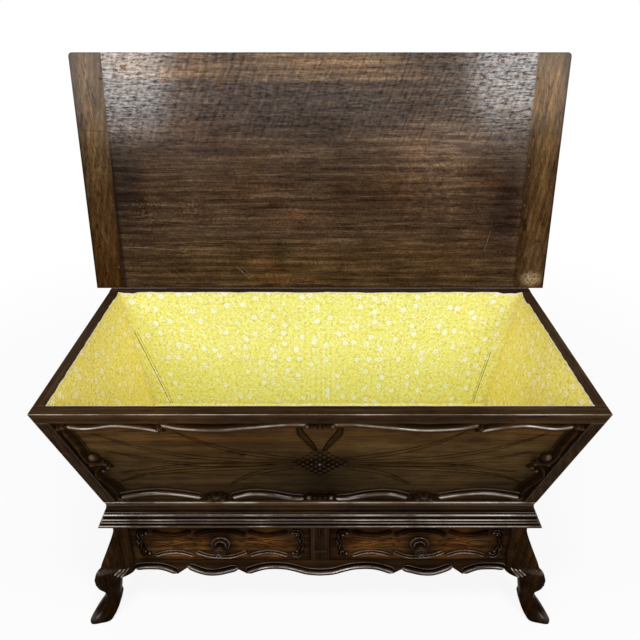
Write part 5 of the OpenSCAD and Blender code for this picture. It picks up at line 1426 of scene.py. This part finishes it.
def drawerFrontMesh():
    half, high = stand["drawerHalf"], stand["drawerHigh"]
    outline = [(-half, 0), (half, 0), (half, high), (-half, high)]
    blades, near, runs, ends = [], [], [], []
    for flip in (1, -1):
        blades += [{"path": smoothLine([(x * flip, y) for x, y in spray], 4.0), **bladeForms["drawer"]}
                   for spray in drawerSprays]
        for up in (0, 1):
            for key in ("arch", "end"):
                line = smoothLine([(x * flip, high - y if up else y) for x, y in drawer[key]], 2.5)
                near.append((line, 9, 0.95))
                (runs if key == "arch" else ends).append(line)
    for up in (0, 1):
        low = [(x, high - y if up else y) for x, y in drawer["low"]]
        line = smoothLine([(-x, y) for x, y in low[:0:-1]] + low, 2.5)
        near.append((line, 9, 0.95))
        runs.append(line)
    # Painted shade along the front's edges, as along its mouldings above, and darker round the knob
    for a, b in zip(outline, outline[1:] + outline[:1]):
        near.append((np.array([a, b], float), 13, 1.0))
    near.append((np.array([(0, 50.0), (0, 78.0)]), 20, 0.9))
    ground = carvedGround("drawer_ground", outline, blades, near, stand["drawerFront"], 12, 0.5)
    # A pair of ridges with a hollow between them, in painted shade; their painted highlight is strong on the lower runs
    # and faint on the upper runs and ends
    pair = {amount: arch(7.0, 7.4, 4.4, 10, amount=amount) + [(0.5, 1.0, -1), (-0.5, 1.0, -1)]
            + arch(5.6, 5.4, -4.0, 8, amount=amount * 0.8) + [(-7.4, -1.5, -1), (8.4, -1.5, -1)]
            for amount in (0.8, 0.35)}
    lower = [rightwards(p) for p in runs if p[:, 1].mean() < high / 2]
    upper = [rightwards(p)[::-1] for p in runs if p[:, 1].mean() > high / 2]
    carved = [mouldingMesh("drawer_runs", lower, pair[0.8], drawerWood, 5.0, 0.6, 2.0),
              mouldingMesh("drawer_runs_top", upper, pair[0.35], drawerWood, 5.0, 0.6, 2.0),
              mouldingMesh("drawer_ends", ends, pair[0.35], drawerWood, 5.0, 0.4, 2.0)]
    for flip in (1, -1):
        for up in (0, 1):
            for x, y, r in ((186, 27, 5.0), (196, 34, 4.0)):
                carved.append(ball(flip * x, high - y if up else y, 1.0, r, 0.9))
    return joined("drawer_front", [ground] + carved, 1e-5, closed=False)


def knobMesh(steps=64):
    line = smoothLine(drawer["knob"], 0.7)
    line = line[line[:, 0] >= 0]
    points, faces = [], []
    n = len(line)
    for j in range(steps):
        a = 2 * math.pi * j / steps
        points += [(r * math.cos(a), r * math.sin(a), h) for r, h in line]
    for j in range(steps):
        k = (j + 1) % steps
        faces += [(j * n + i, j * n + i + 1, k * n + i + 1, k * n + i) for i in range(n - 1)]
    faces.append(tuple(j * n + n - 1 for j in range(steps)))
    return joined("knob", [meshOf("knob", points, faces)], 1e-3)


frontMesh, knob = drawerFrontMesh(), knobMesh()
for side, name in ((-1, "left"), (1, "right")):
    onDrawer = plane(side * stand["drawerX"], stand["postFront"], stand["drawerZ"])
    carvedPiece(f"drawer_{name}_front_carved", moved(frontMesh, onDrawer), f"{name}_drawer", drawerWood,
                "carved_walnut", [f"drawer_{name}_front"])
    makePiece(f"drawer_{name}_knob_turned", moved(knob, onDrawer @ Matrix.Translation((0, stand["drawerHigh"] / 2, 0))),
              f"{name}_drawer", darkAlongX, "dark_walnut", [f"drawer_{name}_knob"], sharp=45, gain=1 / 130)
print("drawers made:", len(frontMesh.polygons), "faces in a front")

# Paper lining
lining = {
    "drop": 0.8, "thick": 0.5,
    # How deep the upper edge is torn, and the least and added width of the white core seen there
    "tears": 1.6, "white": (0.8, 2.2),
    # How far a sheet stands off its wall, how much that varies, and how it curls at its upper edge
    "lift": 0.35, "swell": 0.25, "curl": 1.6, "curlReach": 4.0,
    # Painted shade: how dark it is, and how far, along its sides and its foot; and below what width a sheet is an end
    # wall, tinted warmer as painted shade and warm reflected light
    "sideShade": (0.40, 11), "footShade": (0.35, 16), "agedBelow": 900,
}


def ragged(count, size, seed):
    random = np.random.default_rng(seed)
    t = np.linspace(0, 1, count)
    total = np.zeros(count)
    for waves, amount in ((4, 1.0), (11, 0.6), (27, 0.35), (61, 0.2)):
        total += amount * np.sin(2 * math.pi * (waves * t * random.uniform(0.8, 1.2) + random.uniform(0, 1)))
    return size * total / 2.15


# A sheet from its corner function: u across from 0 to 1, v up from 0 to 1, lifted off the wall by noise
def sheetMesh(name, place, across, along, columns, rows, seed, tears=(), tearDepth=lining["tears"]):
    random = np.random.default_rng(seed)
    edge = np.abs(ragged(columns + 1, tearDepth, seed))
    white = np.abs(ragged(columns + 1, lining["white"][1], seed + 50)) + lining["white"][0]
    for start, end, drop in tears:
        u = np.linspace(0, 1, columns + 1)
        bite = np.clip(np.minimum(u - start, end - u) / max(0.01, (end - start) / 4), 0, 1)
        edge += bite * drop * (0.7 + 0.3 * ragged(columns + 1, 1.0, seed + 9))
        white += bite * drop * 0.8
    waves = random.uniform(0, 6.28, (6, 2))
    points, uvs, torn, shade = [], [], [], []
    for j in range(rows + 1):
        v = (j / rows) ** 0.8
        for i in range(columns + 1):
            u = i / columns
            length = along - edge[i]
            up = v * length
            swell = sum(math.sin(3 * (k + 1) * u * 4 + waves[k, 0]) * math.sin(2.2 * (k + 1) * v * 3 + waves[k, 1])
                        for k in range(5))
            lift = lining["lift"] + lining["swell"] * swell / 2
            lift += (lining["curl"] * math.exp(-(length - up) / lining["curlReach"])
                     * (0.4 + 0.6 * abs(math.sin(37 * u + seed))))
            points.append(place(u, up / along, max(0.05, lift)))
            uvs.append((u * across * 0.001 + seed * 0.37, up * 0.001 + seed * 0.21))
            torn.append(1.0 if length - up < white[i] else 0.0)
            shade.append(sum(dark * math.exp(-far / reach) for far, (dark, reach) in (
                (min(u, 1 - u) * across, lining["sideShade"]), (up, lining["footShade"]))))
    n = columns + 1
    faces = [(j * n + i, j * n + i + 1, (j + 1) * n + i + 1, (j + 1) * n + i)
             for j in range(rows) for i in range(columns)]
    mesh = meshOf(name, points, faces)
    layer = mesh.uv_layers.new(name="UVMap")
    loops = np.empty(len(mesh.loops), np.int32)
    mesh.loops.foreach_get("vertex_index", loops)
    layer.data.foreach_set("uv", np.array(uvs)[loops].ravel())
    setMark(mesh, "torn", torn)
    # Painted shade along the sides and foot, and the end walls' warmer tint, painted shade and warm reflected light
    setMark(mesh, "grimeAndShade", shade)
    setMark(mesh, "paintedEndWallShade", [1.0 if across < lining["agedBelow"] else 0.0] * len(shade))
    return mesh


def thickSheet(name, mesh, nodes):
    mesh.transform(toFrame)
    holder = placed(name, mesh)
    thicken = holder.modifiers.new("thickness", "SOLIDIFY")
    thicken.thickness, thicken.offset = lining["thick"] * 0.001, -1
    makePiece(name, settled(holder), "carcass", liningPaper, "lining_paper", nodes, inFrame=True, relief=False,
              sharp=60)


zLow, zHigh = footTop + 1.2, trough["rimTop"] - lining["drop"]
wallHigh = (zHigh - zLow) / math.cos(math.radians(trough["sideRake"]))


def wallPlace(side):
    def place(u, v, lift):
        z = zLow + v * (zHigh - zLow)
        half, off = halfAt(z) - trough["endThick"] - 0.4, lining["thick"] + lift
        y = backAt(z) - trough["backThick"] - off if side > 0 else frontAt(z) + trough["frontThick"] + off
        return (side * half * (2 * u - 1), y, z)
    return place


def endPlace(side):
    def place(u, v, lift):
        z = zLow + v * (zHigh - zLow)
        near, distant = frontAt(z) + trough["frontThick"] + 0.6, backAt(z) - trough["backThick"] - 0.6
        y = near + (distant - near) * (u if side < 0 else 1 - u)
        return (side * (halfAt(z) - trough["endThick"] - lining["thick"] - lift), y, z)
    return place


sheets = [
    ("lining_back", wallPlace(1), 1110, 240, 70, 3,
     ((0.0, 0.05, 4), (0.42, 0.5, 2), (0.56, 0.78, 1.5), (0.94, 1.0, 5))),
    ("lining_front", wallPlace(-1), 1110, 200, 40, 5, ()),
    ("lining_left", endPlace(-1), 440, 120, 60, 7, ((0.9, 0.99, 2),)),
    ("lining_right", endPlace(1), 440, 120, 60, 9, ((0.02, 0.14, 6),)),
]
for node, place, across, columns, rows, seed, tears in sheets:
    sheet = sheetMesh(node + "_sheet", place, across, wallHigh, columns, rows, seed, tears)
    thickSheet(node + "_sheet", sheet, [node])


def floorPlace(u, v, lift):
    z = zLow - 1.2
    half = halfAt(z) - trough["endThick"] - 1
    near, distant = frontAt(z) + trough["frontThick"] + 1, backAt(z) - trough["backThick"] - 1
    return (-half + 2 * half * u, near + (distant - near) * v, z + lining["thick"] + 0.6 * lift)


floorSheet = sheetMesh("lining_floor_sheet", floorPlace, 1000, 380, 120, 50, 15, tearDepth=0)
setMark(floorSheet, "torn", [0] * len(floorSheet.vertices))
thickSheet("lining_floor_sheet", floorSheet, ["lining_floor"])
print("lining made")

# CAD nodes that keep their shape
plainFinish = {
    rawAlongX: ["trough_floor", "drawer_left_back", "drawer_right_back", "drawer_left_bottom", "drawer_right_bottom"],
    rawAlongY: ["drawer_runners", "drawer_kickers", "drawer_left_sides", "drawer_right_sides"],
    darkAlongX: ["stand_back", "foot_back"],
    pegWood: ["lid_pegs"],
    iron: ["hinge_left_leaf", "hinge_left_lid_leaf", "hinge_left_pin", "hinge_right_leaf", "hinge_right_lid_leaf",
           "hinge_right_pin", "hinge_screws", "lid_hinge_screws"],
}
for material, nodes in plainFinish.items():
    for node in nodes:
        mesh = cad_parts[node].data
        mesh.materials.clear()
        mesh.materials.append(material)

# Floor, light and world
studio = {
    "floor": 120.0, "whiteness": 0.88, "near": 1.1, "far": 2.6,
    "lamps": [
        ("overhead", (0.0, -0.9, 3.4), (0.0, 0.0, 0.5), (2.4, 0.5), 40),
        ("windowLeft", (-1.9, -3.1, 2.25), (-0.2, 0.2, 0.8), (1.3, 1.3), 38),
        ("windowRight", (1.9, -3.1, 2.25), (0.2, 0.2, 0.8), (1.3, 1.3), 38),
    ],
    "world": 0.42,
}


# White to the camera and in reflections, and a plain surface for everything else
def seenRays(tree):
    rays = addNode(tree, "ShaderNodeLightPath")
    return highest(rays["Is Camera Ray"], rays["Is Glossy Ray"], rays["Is Transmission Ray"])


def backdrop(tree, output, factor, soft, bright):
    feed(tree.nodes.new(output), {"Surface": addNode(tree, "ShaderNodeMixShader", {0: factor, 1: soft, 2: bright})[0]})


corners = [(x * studio["floor"], y * studio["floor"], 0) for x, y in ((-1, -1), (1, -1), (1, 1), (-1, 1))]
floorMesh = meshOf("floor", corners, [(0, 1, 2, 3)])
placed("floor", floorMesh)
floorMaterial, tree, _ = newMaterial("paleFloor")
tree.nodes.clear()
fromMiddle = addNode(tree, "ShaderNodeTexCoord")["Object"].length()
whitened = fromMiddle.spread(studio["near"], studio["far"], studio["whiteness"], 1.0)
backdrop(tree, "ShaderNodeOutputMaterial", seenRays(tree) * whitened,
         addNode(tree, "ShaderNodeBsdfDiffuse", {"Color": (0.90, 0.90, 0.90, 1)})[0],
         addNode(tree, "ShaderNodeEmission", {"Color": (1, 1, 1, 1), "Strength": 1.0})[0])
floorMesh.materials.append(floorMaterial)

world = bpy.data.worlds.new("studio")
bpy.context.scene.world = world
world.use_nodes = True
world.node_tree.nodes.clear()
backdrop(world.node_tree, "ShaderNodeOutputWorld", seenRays(world.node_tree), *[
    addNode(world.node_tree, "ShaderNodeBackground", {"Color": (1, 1, 1, 1), "Strength": strength})[0]
    for strength in (studio["world"], 1.0)])

for name, spotAt, aim, size, power in studio["lamps"]:
    lamp = bpy.data.lights.new(name, "AREA")
    lamp.shape, lamp.size, lamp.size_y, lamp.energy = "RECTANGLE", size[0], size[1], power
    lampObject = placed(name, lamp)
    lampObject.location = spotAt
    lampObject.rotation_euler = (Vector(aim) - Vector(spotAt)).to_track_quat("-Z", "Y").to_euler()
bpy.context.scene.view_settings.view_transform = "Standard"
print("studio made")
